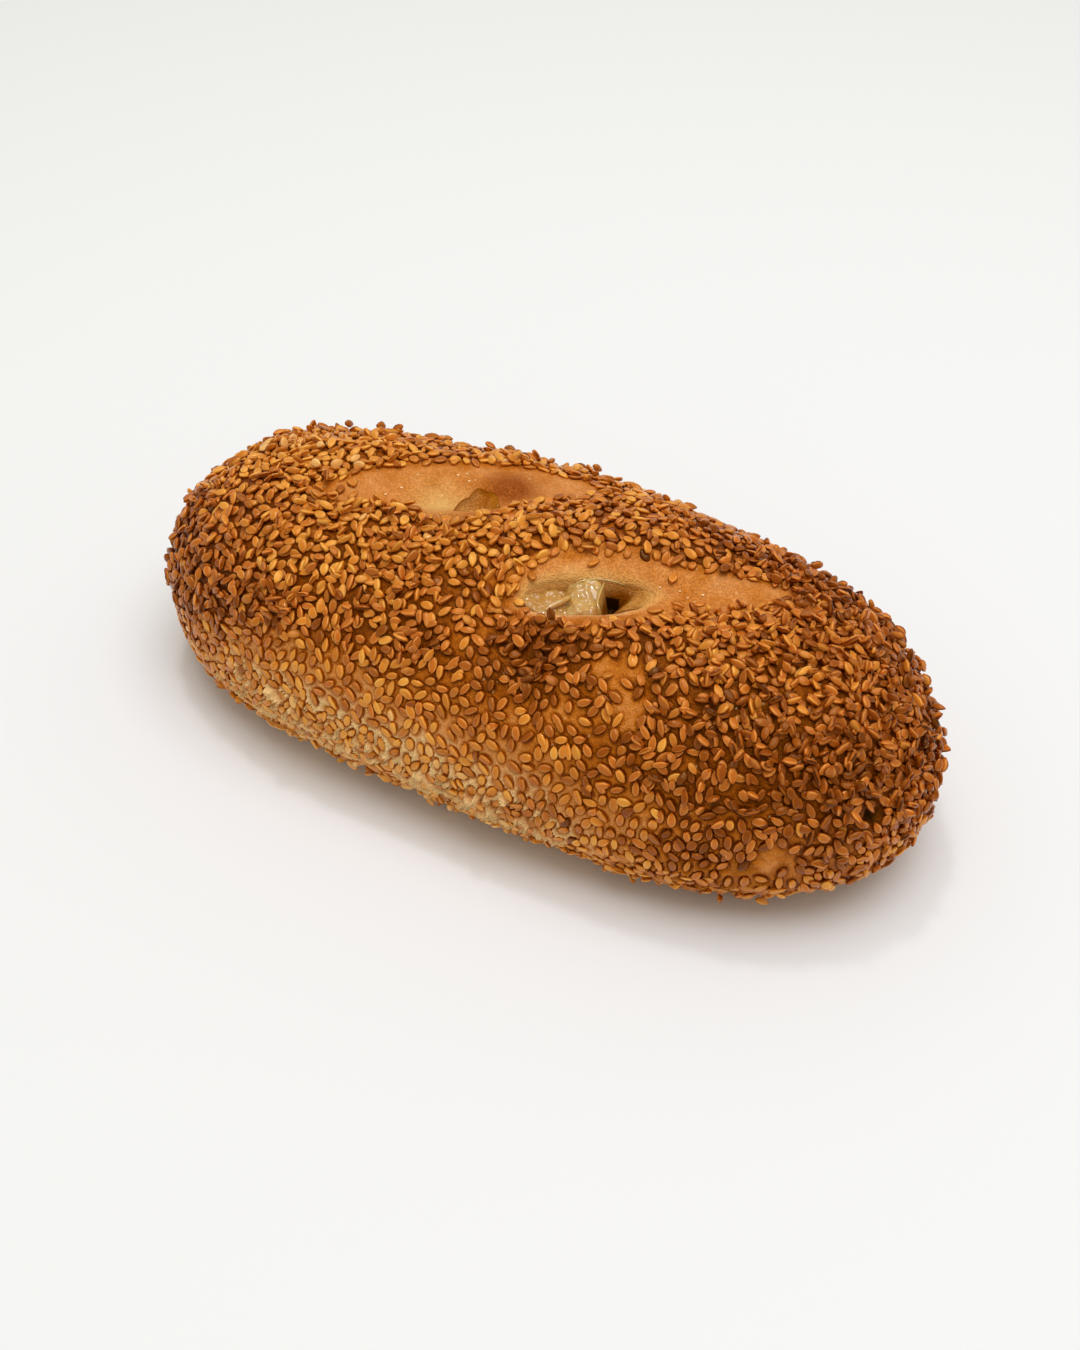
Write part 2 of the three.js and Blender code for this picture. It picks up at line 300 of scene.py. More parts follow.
def cleft_depth(cleft, x, y):
    """A valley: full depth on its deepest line, a bell to each side, (1 - (along/half)^2)^1.5 along."""
    along, across = in_frame(cleft, x, y)
    lengthwise = np.maximum(0, 1 - (along / cleft["half_length"]) ** 2) ** 1.5
    off = across - cleft["deepest"]
    slope = np.where(off > 0, cleft["back"], cleft["front"])
    return cleft["depth"] * lengthwise * np.exp(-((off / slope) ** 2))


def relief(x, y):
    """What swells and the crease add to the top, and the clefts take from it."""
    height = mound(CREASE, x, y)
    for swell in SWELLS:
        height = height + mound(swell, x, y)
    for cleft in CLEFTS:
        height = height - cleft_depth(cleft, x, y)
    return height


def middle_line(s):
    """Where the loaf's middle lies across at s: a parabola, as the loaf bows to the back."""
    return ACROSS_SHIFT + BOW * (1 - s * s)


def reaches(s):
    """How far the skin stands off its waist line at s: to the back and front, above and below."""
    return (BACK_HALF_WIDTH * closing(s, BACK_END_POWER),
            FRONT_HALF_WIDTH * closing(s, FRONT_END_POWER),
            (HEIGHT - WAIST_HEIGHT) * closing(s, TOP_END_POWER),
            WAIST_HEIGHT * UNDER_DEPTH * closing(s, UNDER_END_POWER))


def skin(s, t):
    """The smooth dough at s from end to end and at angle t round the section.

    The section is the superellipse (|cos t|^(2/n) reach, |sin t|^(2/n) rise) about the waist line.
    """
    c = np.cos(t)
    r = np.sin(t)
    back, front, over, under = reaches(s)
    x = LENGTH / 2 * s
    y = middle_line(s) + np.where(c > 0, back, front) * signed_power(c, 2 / SECTION_POWER)
    z = WAIST_HEIGHT + np.where(r > 0, over, under) * signed_power(r, 2 / SECTION_POWER)
    z = z + smooth(RELIEF_STARTS, RELIEF_FULL, r) * relief(x, y)
    return np.stack([x, y, z], axis=-1)


def skin_cross(s, t, step=1e-3):
    """The cross product of the skin's two slopes: it points outwards, and its length is the area."""
    along = (skin(s + step, t) - skin(s - step, t)) / (2 * step)
    around = (skin(s, t + step) - skin(s, t - step)) / (2 * step)
    return np.cross(around, along)


def top_height(x, y):
    """The height of the smooth top over a plan point: the section solved for its rise."""
    s = np.clip(x / (LENGTH / 2), -1, 1)
    off = y - middle_line(s)
    back, front, over, _ = reaches(s)
    share = np.abs(off) / np.maximum(np.where(off > 0, back, front), 1e-6)
    c = np.clip(share, 0, 1) ** (SECTION_POWER / 2)
    r = np.sqrt(1 - c * c)
    return (WAIST_HEIGHT + over * r ** (2 / SECTION_POWER)
            + smooth(RELIEF_STARTS, RELIEF_FULL, r) * relief(x, y))


def unevenness(points):
    """Hand-shaped lumps: smooth noise of three sizes, 34, 13 and 5 mm across."""
    return 0.75 * noise(points, 34, 1) + 0.35 * noise(points, 13, 2) + 0.12 * noise(points, 5, 3)


# ---- outlines round the pockets


def outline_radius(points, pocket, angles):
    """Distance of an outline from the pocket's centre at each elliptic angle of the pocket."""
    points = np.asarray(points, float) - pocket["centre"]
    a, b = pocket["half_axes"]
    knot_angle = np.arctan2(points[:, 1] / b, points[:, 0] / a)
    knot_scale = np.hypot(points[:, 0] / a, points[:, 1] / b)
    fine = np.linspace(-np.pi, np.pi, 1441)[:-1]
    order = np.argsort(knot_angle)
    scale = np.interp(fine, knot_angle[order], knot_scale[order], period=2 * np.pi)
    window = np.hanning(round(pocket["rounding"] * 4))
    smoothed = np.convolve(np.tile(scale, 3), window / window.sum(), mode="same")[1440:2880]
    scale = np.interp(angles, fine, smoothed, period=2 * np.pi)
    return scale * np.hypot(a * np.cos(angles), b * np.sin(angles))


def inside(outlines, k, x, y):
    """How far inside cleft k's outline a plan point lies, in mm, negative outside."""
    along, across = in_frame(CLEFTS[k], x, y)
    along = along - POCKETS[k]["centre"][0]
    across = across - POCKETS[k]["centre"][1]
    a, b = POCKETS[k]["half_axes"]
    angle = np.arctan2(across / b, along / a)
    return outline_radius(outlines[k], POCKETS[k], angle) - np.hypot(along, across)


def headings(pocket, angle):
    """The directions from a pocket's centre at these elliptic angles, as (along, across)."""
    a, b = pocket["half_axes"]
    return unit(np.stack([a * np.cos(angle), b * np.sin(angle)], -1))


# ---- meshes from arrays


def ring_faces(rings, sides):
    """Faces of a closed stack of rings: quads between rings, and a fan to a pole at each end."""
    i, j = np.meshgrid(np.arange(rings - 1), np.arange(sides), indexing="ij")
    k = (j + 1) % sides
    quads = np.stack([i * sides + j, i * sides + k, (i + 1) * sides + k, (i + 1) * sides + j], -1)
    j = np.arange(sides)
    k = (j + 1) % sides
    first = np.stack([np.full(sides, rings * sides), k, j], -1)
    last = (rings - 1) * sides
    second = np.stack([np.full(sides, rings * sides + 1), last + j, last + k], -1)
    return quads.reshape(-1, 4), np.concatenate([first, second])


def make_piece(name, points, quads, triangles, material, values=None):
    """A smooth mesh object at the origin from arrays of points, quads and triangles.

    Values are its attributes. Faces are turned round if the volume they enclose is negative.
    """
    points = np.asarray(points, float).reshape(-1, 3)
    corners = np.concatenate([triangles, quads[:, [0, 1, 2]], quads[:, [0, 2, 3]]])
    a, b, c = (points[corners[:, n]] for n in range(3))
    if np.einsum("ij,ij->", a, np.cross(b, c)) < 0:
        quads = quads[:, ::-1]
        triangles = triangles[:, ::-1]
    mesh = bpy.data.meshes.new(name)
    mesh.vertices.add(len(points))
    mesh.vertices.foreach_set("co", (points * MM).astype(np.float32).ravel())
    loops = np.concatenate([quads.ravel(), triangles.ravel()]).astype(np.int32)
    mesh.loops.add(len(loops))
    mesh.loops.foreach_set("vertex_index", loops)
    quad_starts = 4 * np.arange(len(quads))
    triangle_starts = 4 * len(quads) + 3 * np.arange(len(triangles))
    starts = np.concatenate([quad_starts, triangle_starts]).astype(np.int32)
    mesh.polygons.add(len(starts))
    mesh.polygons.foreach_set("loop_start", starts)
    for title, value in (values or {}).items():
        attribute = mesh.attributes.new(title, "FLOAT", "POINT")
        attribute.data.foreach_set("value", np.asarray(value, np.float32).ravel())
    mesh.update(calc_edges=True)
    mesh.validate()
    mesh.shade_smooth()
    mesh.materials.append(material)
    piece = bpy.data.objects.new(name, mesh)
    bpy.context.scene.collection.objects.link(piece)
    return piece


def copies_of_faces(faces, form_size, count):
    """The faces of many copies of one form, whose points follow each other copy by copy."""
    starts = form_size * np.arange(count)[:, None, None]
    return (faces + starts).reshape(-1, faces.shape[1])


def stand_for_loaf(piece):
    """The piece rides on the loaf's body and stands for its solid, which is hidden."""
    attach(piece, "root")
    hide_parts("simit")


# ---- baking and colour fields


def above_heap_line(points):
    """Height above the line on the loaf's side that heaped seeds come down to."""
    line = np.array(HEAP_LINE, float)
    return points[..., Z] - np.interp(points[..., X], line[:, 0], line[:, 1])


def torn_band(points):
    """The pale band low in front where the dough tore as it swelled, 0 to 1.

    It is a bell across a line that falls a little to the right, and fades towards both ends.
    """
    x, y, z = np.moveaxis(points, -1, 0)
    line = 17.3 - 0.04 * (x + 10)
    ends = smooth(-62, -40, x) * smooth(38, 16, x)
    return np.exp(-(((z - line) / 4.6) ** 2)) * ends * smooth(-20, -36, y)


def bake_field(points):
    """How brown the oven left the crust, 0 to 1: pale low in front, darkest under the heaps, where the
    darkness is painted shade among the heaped seeds.
    """
    bake = 0.44 + soft_patches(points, BROWNING_RAMPS, BROWNING_SPOTS)
    # Darker above the heap line: painted shade among heaped seeds. Paler in the torn band.
    bake += 0.3 * smooth(-3, 4, above_heap_line(points)) - 0.3 * torn_band(points)
    for paler, middle, spread in BARE_SPOTS:
        bake -= paler * np.minimum(1, 1.6 * bell(points, middle, spread))
    bake -= 0.25 * thin_places(points)
    return np.clip(bake + 0.07 * noise(points, 11, 11) + 0.05 * noise(points, 4, 12), 0, 1)


def toasting(points):
    """How toasted seeds are at a place, 0 to 1: golden low in front, toasted on top and at the ends."""
    heaped = 0.22 * smooth(-4, 5, above_heap_line(points))
    patches = soft_patches(points, TOASTING_RAMPS, TOASTING_SPOTS)
    return 0.33 + heaped + patches + 0.12 * noise(points, 12, 51)


# ---- materials


def add_node(tree, kind, **values):
    """A new node with the given properties and plain input values."""
    node = tree.nodes.new(kind)
    for key, value in values.items():
        if hasattr(node, key):
            setattr(node, key, value)
        else:
            node.inputs[key.replace("_", " ")].default_value = value
    return node


def link(tree, *pairs):
    """Links each output socket to its input socket."""
    for output, socket in pairs:
        tree.links.new(output, socket)


def new_group(name, inputs, outputs):
    """An empty shader node group with float sockets, and its two end nodes."""
    group = bpy.data.node_groups.new(name, "ShaderNodeTree")
    for title in inputs:
        socket = group.interface.new_socket(name=title, in_out="INPUT", socket_type="NodeSocketFloat")
        socket.default_value = 1.0
    for title in outputs:
        group.interface.new_socket(name=title, in_out="OUTPUT", socket_type="NodeSocketFloat")
    return group, group.nodes.new("NodeGroupInput"), group.nodes.new("NodeGroupOutput")


def fill(tree, socket, value):
    """Links a socket to another one, or gives it a plain value."""
    if isinstance(value, bpy.types.NodeSocket):
        tree.links.new(value, socket)
    else:
        socket.default_value = value


def mix_color(tree, factor, a, b, blend="MIX"):
    """A colour mix node; each argument is a socket or a plain value. Returns its result socket."""
    node = tree.nodes.new("ShaderNodeMix")
    node.data_type = "RGBA"
    node.blend_type = blend
    for name, value in (("Factor_Float", factor), ("A_Color", a), ("B_Color", b)):
        fill(tree, next(s for s in node.inputs if s.identifier == name), value)
    return next(s for s in node.outputs if s.identifier == "Result_Color")


def math_node(tree, operation, a, b=0.0, clamp=False):
    """A maths node; each argument is a socket or a number. Returns its result socket."""
    node = tree.nodes.new("ShaderNodeMath")
    node.operation = operation
    node.use_clamp = clamp
    fill(tree, node.inputs[0], a)
    fill(tree, node.inputs[1], b)
    return node.outputs[0]


def attribute(tree, name):
    """The value of a mesh attribute."""
    node = tree.nodes.new("ShaderNodeAttribute")
    node.attribute_name = name
    return node.outputs["Fac"]


def mottled(tree, name, detail):
    """A mesh attribute made uneven by the grain's mottle, which swings it by a quarter each way."""
    swing = math_node(tree, "MULTIPLY", math_node(tree, "SUBTRACT", detail.outputs["Mottle"], 0.5), 0.5)
    return math_node(tree, "ADD", attribute(tree, name), swing, clamp=True)


# How fine the dough's grain is, as each texture's scale.
MOTTLE_SCALE = 260
WRINKLE_SCALE = 1500
PORE_SCALE = 2400
SPECK_SCALE = 330


def make_grain_group():
    """Fine grain for baked dough: a mottle mask, a height of pores and short wrinkles, and specks."""
    group, entry, leave = new_group("Dough grain", ["Scale", "Pore Depth"], ["Mottle", "Height", "Speck"])
    place = group.nodes.new("ShaderNodeTexCoord").outputs["Object"]

    def texture(kind, size, **values):
        node = add_node(group, kind, **values)
        scale = math_node(group, "MULTIPLY", entry.outputs["Scale"], size)
        link(group, (place, node.inputs["Vector"]), (scale, node.inputs["Scale"]))
        return node

    mottle = texture("ShaderNodeTexNoise", MOTTLE_SCALE, Detail=4.0, Roughness=0.6)
    wrinkles = texture("ShaderNodeTexNoise", WRINKLE_SCALE, Detail=3.0, Roughness=0.65)
    pores = texture("ShaderNodeTexVoronoi", PORE_SCALE)
    specks = texture("ShaderNodeTexVoronoi", SPECK_SCALE)
    from_pore = math_node(group, "MULTIPLY", pores.outputs["Distance"], 1.6)
    pore = math_node(group, "SUBTRACT", 1.0, from_pore, clamp=True)
    pit = math_node(group, "MULTIPLY", pore, entry.outputs["Pore Depth"])
    height = math_node(group, "SUBTRACT", wrinkles.outputs["Fac"], pit)
    speck = math_node(group, "LESS_THAN", specks.outputs["Distance"], 0.09)
    link(group, (mottle.outputs["Fac"], leave.inputs["Mottle"]), (height, leave.inputs["Height"]),
         (speck, leave.inputs["Speck"]))
    return group


def new_material(name, constants):
    """A material whose Principled shader takes the given constants. Returns its tree and shader too."""
    material = bpy.data.materials.new(name)
    material.use_nodes = True
    shader = material.node_tree.nodes["Principled BSDF"]
    for key, value in constants.items():
        shader.inputs[key].default_value = value
    return material, material.node_tree, shader


def ramp(tree, factor, stops):
    """A colour ramp over the factor with (place, colour) stops, curved if there are more than three."""
    node = tree.nodes.new("ShaderNodeValToRGB")
    node.color_ramp.interpolation = "B_SPLINE" if len(stops) > 3 else "LINEAR"
    while len(node.color_ramp.elements) < len(stops):
        node.color_ramp.elements.new(0.5)
    for element, (place, colour) in zip(node.color_ramp.elements, stops):
        element.position = place
        element.color = colour
    tree.links.new(factor, node.inputs[0])
    return node.outputs[0]


def srgb(red, green, blue):
    """An opaque linear colour from red, green and blue on the screen's scale of 0 to 255."""
    screen = np.array([red, green, blue]) / 255
    linear = np.where(screen <= 0.04045, screen / 12.92, ((screen + 0.055) / 1.055) ** 2.4)
    return (*linear.tolist(), 1.0)


def bump(tree, height, distance, strength):
    """A bump of a height over a distance in metres."""
    node = add_node(tree, "ShaderNodeBump", Strength=strength, Distance=distance)
    tree.links.new(height, node.inputs["Height"])
    return node.outputs["Normal"]


# Dough from unbaked to almost burnt.
CRUST_BROWNING = [
    (0.0, srgb(250, 212, 150)),
    (0.25, srgb(226, 156, 94)),
    (0.5, srgb(203, 119, 41)),
    (0.63, srgb(180, 97, 19)),
    (0.8, srgb(148, 69, 3)),
    (1.0, srgb(92, 37, 0)),
]
# What a mesh attribute of each name tints it with. Deep is painted shade deep in the front pocket and
# partly painted light at the rear pocket's rim; hollow_dark is painted shade in the front pocket's hole
# and darkens the crater.
CRUST_TINTS = dict(cream=srgb(228, 182, 108), deep=srgb(162, 94, 6), blush=srgb(150, 72, 20),
                   hollow_dark=srgb(40, 18, 2))
PALE_SPECK = srgb(238, 196, 140)
# A light and a dark multiplier for the tops and the pits of the dough's grain: painted light on the tops
# and painted shade in the pits.
GRAIN_LIGHT_AND_SHADE = [(0.0, (0.92, 0.9, 0.86, 1)), (0.6, (1.07, 1.06, 1.04, 1))]


def make_crust_material(grain):
    """Baked dough: colour by how brown it is, mottled, with fine pores; cream near the pockets; painted
    shade in the pockets and in the grain's pits, painted light on its tops.
    """
    material, tree, shader = new_material("Baked crust", {
        "Roughness": 0.36, "Specular IOR Level": 0.3, "Specular Tint": (1.0, 0.6, 0.1, 1)})
    detail = add_node(tree, "ShaderNodeGroup", node_tree=grain)
    colour = ramp(tree, mottled(tree, "bake", detail), CRUST_BROWNING)
    for name, tint in CRUST_TINTS.items():
        colour = mix_color(tree, attribute(tree, name), colour, tint)
    pale_specks = math_node(tree, "MULTIPLY", detail.outputs["Speck"], 0.35)
    colour = mix_color(tree, pale_specks, colour, PALE_SPECK)
    # Painted light and shade on the grain, by its height.
    grain_shading = ramp(tree, detail.outputs["Height"], GRAIN_LIGHT_AND_SHADE)
    colour = mix_color(tree, 1.0, colour, grain_shading, "MULTIPLY")
    normal = bump(tree, detail.outputs["Height"], 0.0002, 0.85)
    link(tree, (colour, shader.inputs["Base Color"]), (normal, shader.inputs["Normal"]))
    return material


def make_seed_material(kind, grain):
    """Sesame: a dark edge that is painted shade, a light rim that is a painted highlight, a mid face, and
    its own browning on each seed.
    """
    material, tree, shader = new_material(kind["name"].replace("_", " "), {
        "Roughness": 0.24, "Specular IOR Level": 0.5 * kind["gloss"], "Specular Tint": (1.0, 0.56, 0.1, 1),
        "Coat Weight": 0.22 * kind["gloss"], "Coat Roughness": 0.07})
    detail = add_node(tree, "ShaderNodeGroup", node_tree=grain, Scale=1.6)
    stops = [(0.1, kind["edge"]), (0.55, kind["face"]), (1.0, kind["rim"])]
    colour = ramp(tree, attribute(tree, "rim"), stops)
    colour = mix_color(tree, mottled(tree, "browning", detail), colour, kind["burn"])
    normal = bump(tree, detail.outputs["Mottle"], 0.00015, 0.35)
    link(tree, (colour, shader.inputs["Base Color"]), (normal, shader.inputs["Normal"]))
    return material


# Crumb by its mottle, and darker where it lies deep, which is painted shade.
CRUMB_MOTTLE = [(0.25, srgb(182, 134, 62)), (0.75, srgb(213, 172, 98))]
SHADED_DEEP_CRUMB = srgb(176, 100, 24)


def make_crumb_material(grain):
    """Moist crumb: cream, wet gloss, light scattered just under the surface, painted shade where it lies
    deep.
    """
    material, tree, shader = new_material("Moist crumb", {
        "Roughness": 0.12, "Specular IOR Level": 0.6, "Subsurface Weight": 0.5, "Subsurface Scale": 0.002,
        "Subsurface Radius": (1.0, 0.6, 0.3), "Coat Weight": 0.7, "Coat Roughness": 0.04})
    detail = add_node(tree, "ShaderNodeGroup", node_tree=grain, Scale=1.2)
    colour = ramp(tree, detail.outputs["Mottle"], CRUMB_MOTTLE)
    colour = mix_color(tree, attribute(tree, "deep"), colour, SHADED_DEEP_CRUMB)
    normal = bump(tree, detail.outputs["Mottle"], 0.0002, 0.5)
    link(tree, (colour, shader.inputs["Base Color"]), (normal, shader.inputs["Normal"]))
    return material


# ---- the dough


def even_angles(count):
    """Angles round the middle section at even arc lengths, closer together on the upper front."""
    t = np.linspace(0, 2 * np.pi, 20001)
    section = skin(np.zeros_like(t), t)
    length = np.linalg.norm(np.diff(section, axis=0), axis=1)
    _, y, z = section[1:].T
    length *= 1 + 1.2 * smooth(0, -24, y) * smooth(26, 32, z) + 0.4 * smooth(28, 34, z)
    travelled = np.concatenate([[0], np.cumsum(length)])
    even = np.linspace(0, travelled[-1], count, endpoint=False)
    return np.interp(even, travelled, t)


def even_lengths(count):
    """Values of s from end to end, crowding to both ends as a sine does."""
    turn = np.linspace(-np.pi / 2, np.pi / 2, 4001)
    x = LENGTH / 2 * np.sin(turn[1:])
    travelled = np.concatenate([[0], np.cumsum(1 + 0.6 * smooth(-66, -52, x) * smooth(66, 52, x))])
    return np.sin(np.interp(np.linspace(0, travelled[-1], count + 2)[1:-1], travelled, turn))


def webbing(points):
    """How far the dough swells between its seeds, in mm: most in a pale torn band low in front."""
    to_right = smooth(36, 54, points[..., X])
    swelling = 1.35 * torn_band(points) + (0.6 + 0.4 * to_right) * soft_patches(points, LOW_SWELL)
    return 0.14 + swelling * (1 + 0.6 * noise(points, 5, 81))


def from_seeds(points, lying):
    """Each place's distance from the nearest lying seed and from the next one.

    Distances are in half lengths along a seed and half widths across it.
    """
    flat = points.reshape(-1, 3)
    i, j = close_pairs(flat, lying["point"], 4.0)
    apart = flat[i] - lying["point"][j]
    along = np.sum(apart * lying["axis"][j], -1) / (SEED_SIZE[0] / 2)
    across = np.sum(apart * np.cross(lying["normal"][j], lying["axis"][j]), -1) / (SEED_SIZE[1] / 2)
    distance = np.hypot(along, across)
    nearest, second = np.full((2, len(flat)), 3.0)
    np.minimum.at(nearest, i, distance)
    others = distance > nearest[i]
    np.minimum.at(second, i[others], distance[others])
    return nearest.reshape(points.shape[:-1]), second.reshape(points.shape[:-1])


def dough_rise(points, lying):
    """How far the dough swells off its smooth form in mm, and how much darker or paler its colour is made.

    It swells to a crest, e^(-gap/0.4), halfway between seeds. It is darker in a ring round each seed,
    painted shade where seed meets dough, and paler on the crests, partly the torn dough's own paleness and
    partly a painted highlight.
    """
    nearest, second = from_seeds(points, lying)
    torn = torn_band(points)
    crest = np.exp(-(second - nearest) / 0.4) * smooth(1.0, 1.35, nearest)
    web = 0.35 * smooth(1.1 - 0.25 * torn, 1.8 - 0.3 * torn, nearest) + 0.9 * crest
    chips = torn * (0.35 * noise(points, 2.4, 82) + 0.15 * noise(points, 1.1, 83))
    # Painted shade in a ring round each lying seed; on the crests, the torn dough's own paleness and
    # partly a painted highlight.
    tint = (0.26 + 0.26 * torn) * (1 - smooth(0.95, 1.4, nearest)) - (0.1 + 0.29 * torn) * crest
    return unevenness(points) + webbing(points) * web + chips, tint


def inside_low_front(points, t):
    """How far inside the low front's own skin a place lies, in mm (34 to a radian), negative outside."""
    first, last = np.radians(LOW_FRONT["turn"])
    x = points[..., X]
    along = np.minimum(x - LOW_FRONT["x"][0], LOW_FRONT["x"][1] - x)
    return np.minimum(along, 34 * np.minimum(t - first, last - t))


def crust_values(vertices, tint, hollow_dark=0.0):
    """How baked the dough outside the clefts is, how dark its crater is made, and none of the clefts' own
    tints.

    The tint is given for all vertices but the last two, which are a skin's poles.
    """
    zero = np.zeros(len(vertices))
    bake = np.clip(bake_field(vertices) + np.append(tint, [0.0, 0.0]), 0, 1)
    return {"bake": bake, "cream": zero, "deep": zero, "blush": zero, "hollow_dark": zero + hollow_dark}


def make_low_front(material, lying, rings=460, around=190, behind=12):
    """The low front's own finer skin, where the dough tore: a curved slab on a grid of s and t.

    Each ring goes down the outer face and back up a plain one behind it, and the outer face dives
    under the loaf's skin at its border.
    """
    s = np.linspace(LOW_FRONT["x"][0], LOW_FRONT["x"][1], rings) / (LENGTH / 2)
    first, last = np.radians(LOW_FRONT["turn"])
    t = np.concatenate([np.linspace(first, last, around), np.linspace(last, first, behind)])
    grid_s, grid_t = np.meshgrid(s, t, indexing="ij")
    points = skin(grid_s, grid_t)
    rise, tint = dough_rise(points, lying)
    rise -= LOW_FRONT_DIP * (1 - smooth(0, 1.5, inside_low_front(points, grid_t)))
    rise[:, around:] = -LOW_FRONT_BACK
    points = points + unit(skin_cross(grid_s, grid_t)) * rise[..., None]
    points[..., Z] = np.maximum(points[..., Z], 0)
    ends = points[[0, -1], around + behind // 2] + [[-0.1, 0, 0], [0.1, 0, 0]]
    vertices = np.concatenate([points.reshape(-1, 3), ends])
    quads, triangles = ring_faces(rings, around + behind)
    return make_piece("low_front", vertices, quads, triangles, material, crust_values(vertices, tint))


def make_crust(material, lying):
    """The loaf's whole skin: dough on a grid of s and t, sunk where a finer skin covers it.

    The crater sinks it by exp(-d^4) of its depth, where d is the distance in crater radii, and darkens it
    by the same share.
    """
    grid_s, grid_t = np.meshgrid(even_lengths(340), even_angles(286), indexing="ij")
    points = skin(grid_s, grid_t)
    rise, tint = dough_rise(points, lying)
    rise -= LOW_FRONT_DIP * smooth(1.5, 4, inside_low_front(points, grid_t))
    off = np.sum(((points - CRATER["middle"]) / CRATER["radius"]) ** 2, -1)
    crater = np.exp(-(off**2))
    rise -= CRATER["depth"] * crater
    points = points + unit(skin_cross(grid_s, grid_t)) * rise[..., None]
    x, y, z = np.moveaxis(points, -1, 0)
    on_top = z > CLEFTS_ABOVE
    for k, pocket in enumerate(POCKETS):
        sink = 0.7 * smooth(1, 5, inside(BARE_OUTLINES, k, x, y) + BORDER)
        sink = sink + (pocket["depth"] + 3) * smooth(-6, -4, inside(MOUTHS, k, x, y))
        points[..., Z] -= np.where(on_top, sink, 0)
    points[..., Z] = np.maximum(points[..., Z], 0)
    ends = np.array([[side * LENGTH / 2, ACROSS_SHIFT, WAIST_HEIGHT] for side in (-1, 1)])
    vertices = np.concatenate([points.reshape(-1, 3), ends])
    quads, triangles = ring_faces(*points.shape[:2])
    values = crust_values(vertices, tint, np.append(crater, [0.0, 0.0]))
    return make_piece("dough_crust", vertices, quads, triangles, material, values)


# Walls of a pocket going down, as (share of the mouth's radius, share of the depth): the back
# leans in under a rounded brow, the front is undercut behind a thin lip, the right slopes gently.
BACK_WALL = [(1, 0), (0.97, 0.1), (0.92, 0.25), (0.84, 0.42), (0.7, 0.6), (0.5, 0.78), (0.26, 0.93),
             (0, 1)]
FRONT_WALL = [(1, 0), (1.03, 0.05), (1.14, 0.18), (1.18, 0.38), (1.1, 0.6), (0.85, 0.82), (0.45, 0.96),
              (0, 1)]
RIGHT_WALL = [(1, 0), (0.87, 0.09), (0.7, 0.2), (0.54, 0.32), (0.4, 0.45), (0.28, 0.62), (0.14, 0.86),
              (0, 1)]
# The bowl under a cleft's skin: how far out each ring lies, from 1.4 times the mouth to the
# border, and how far it drops below the border.
BOWL_START = 1.4
BOWL_RINGS = [(0.6, 9.0), (0.8, 4.0), (1.0, 1.2)]


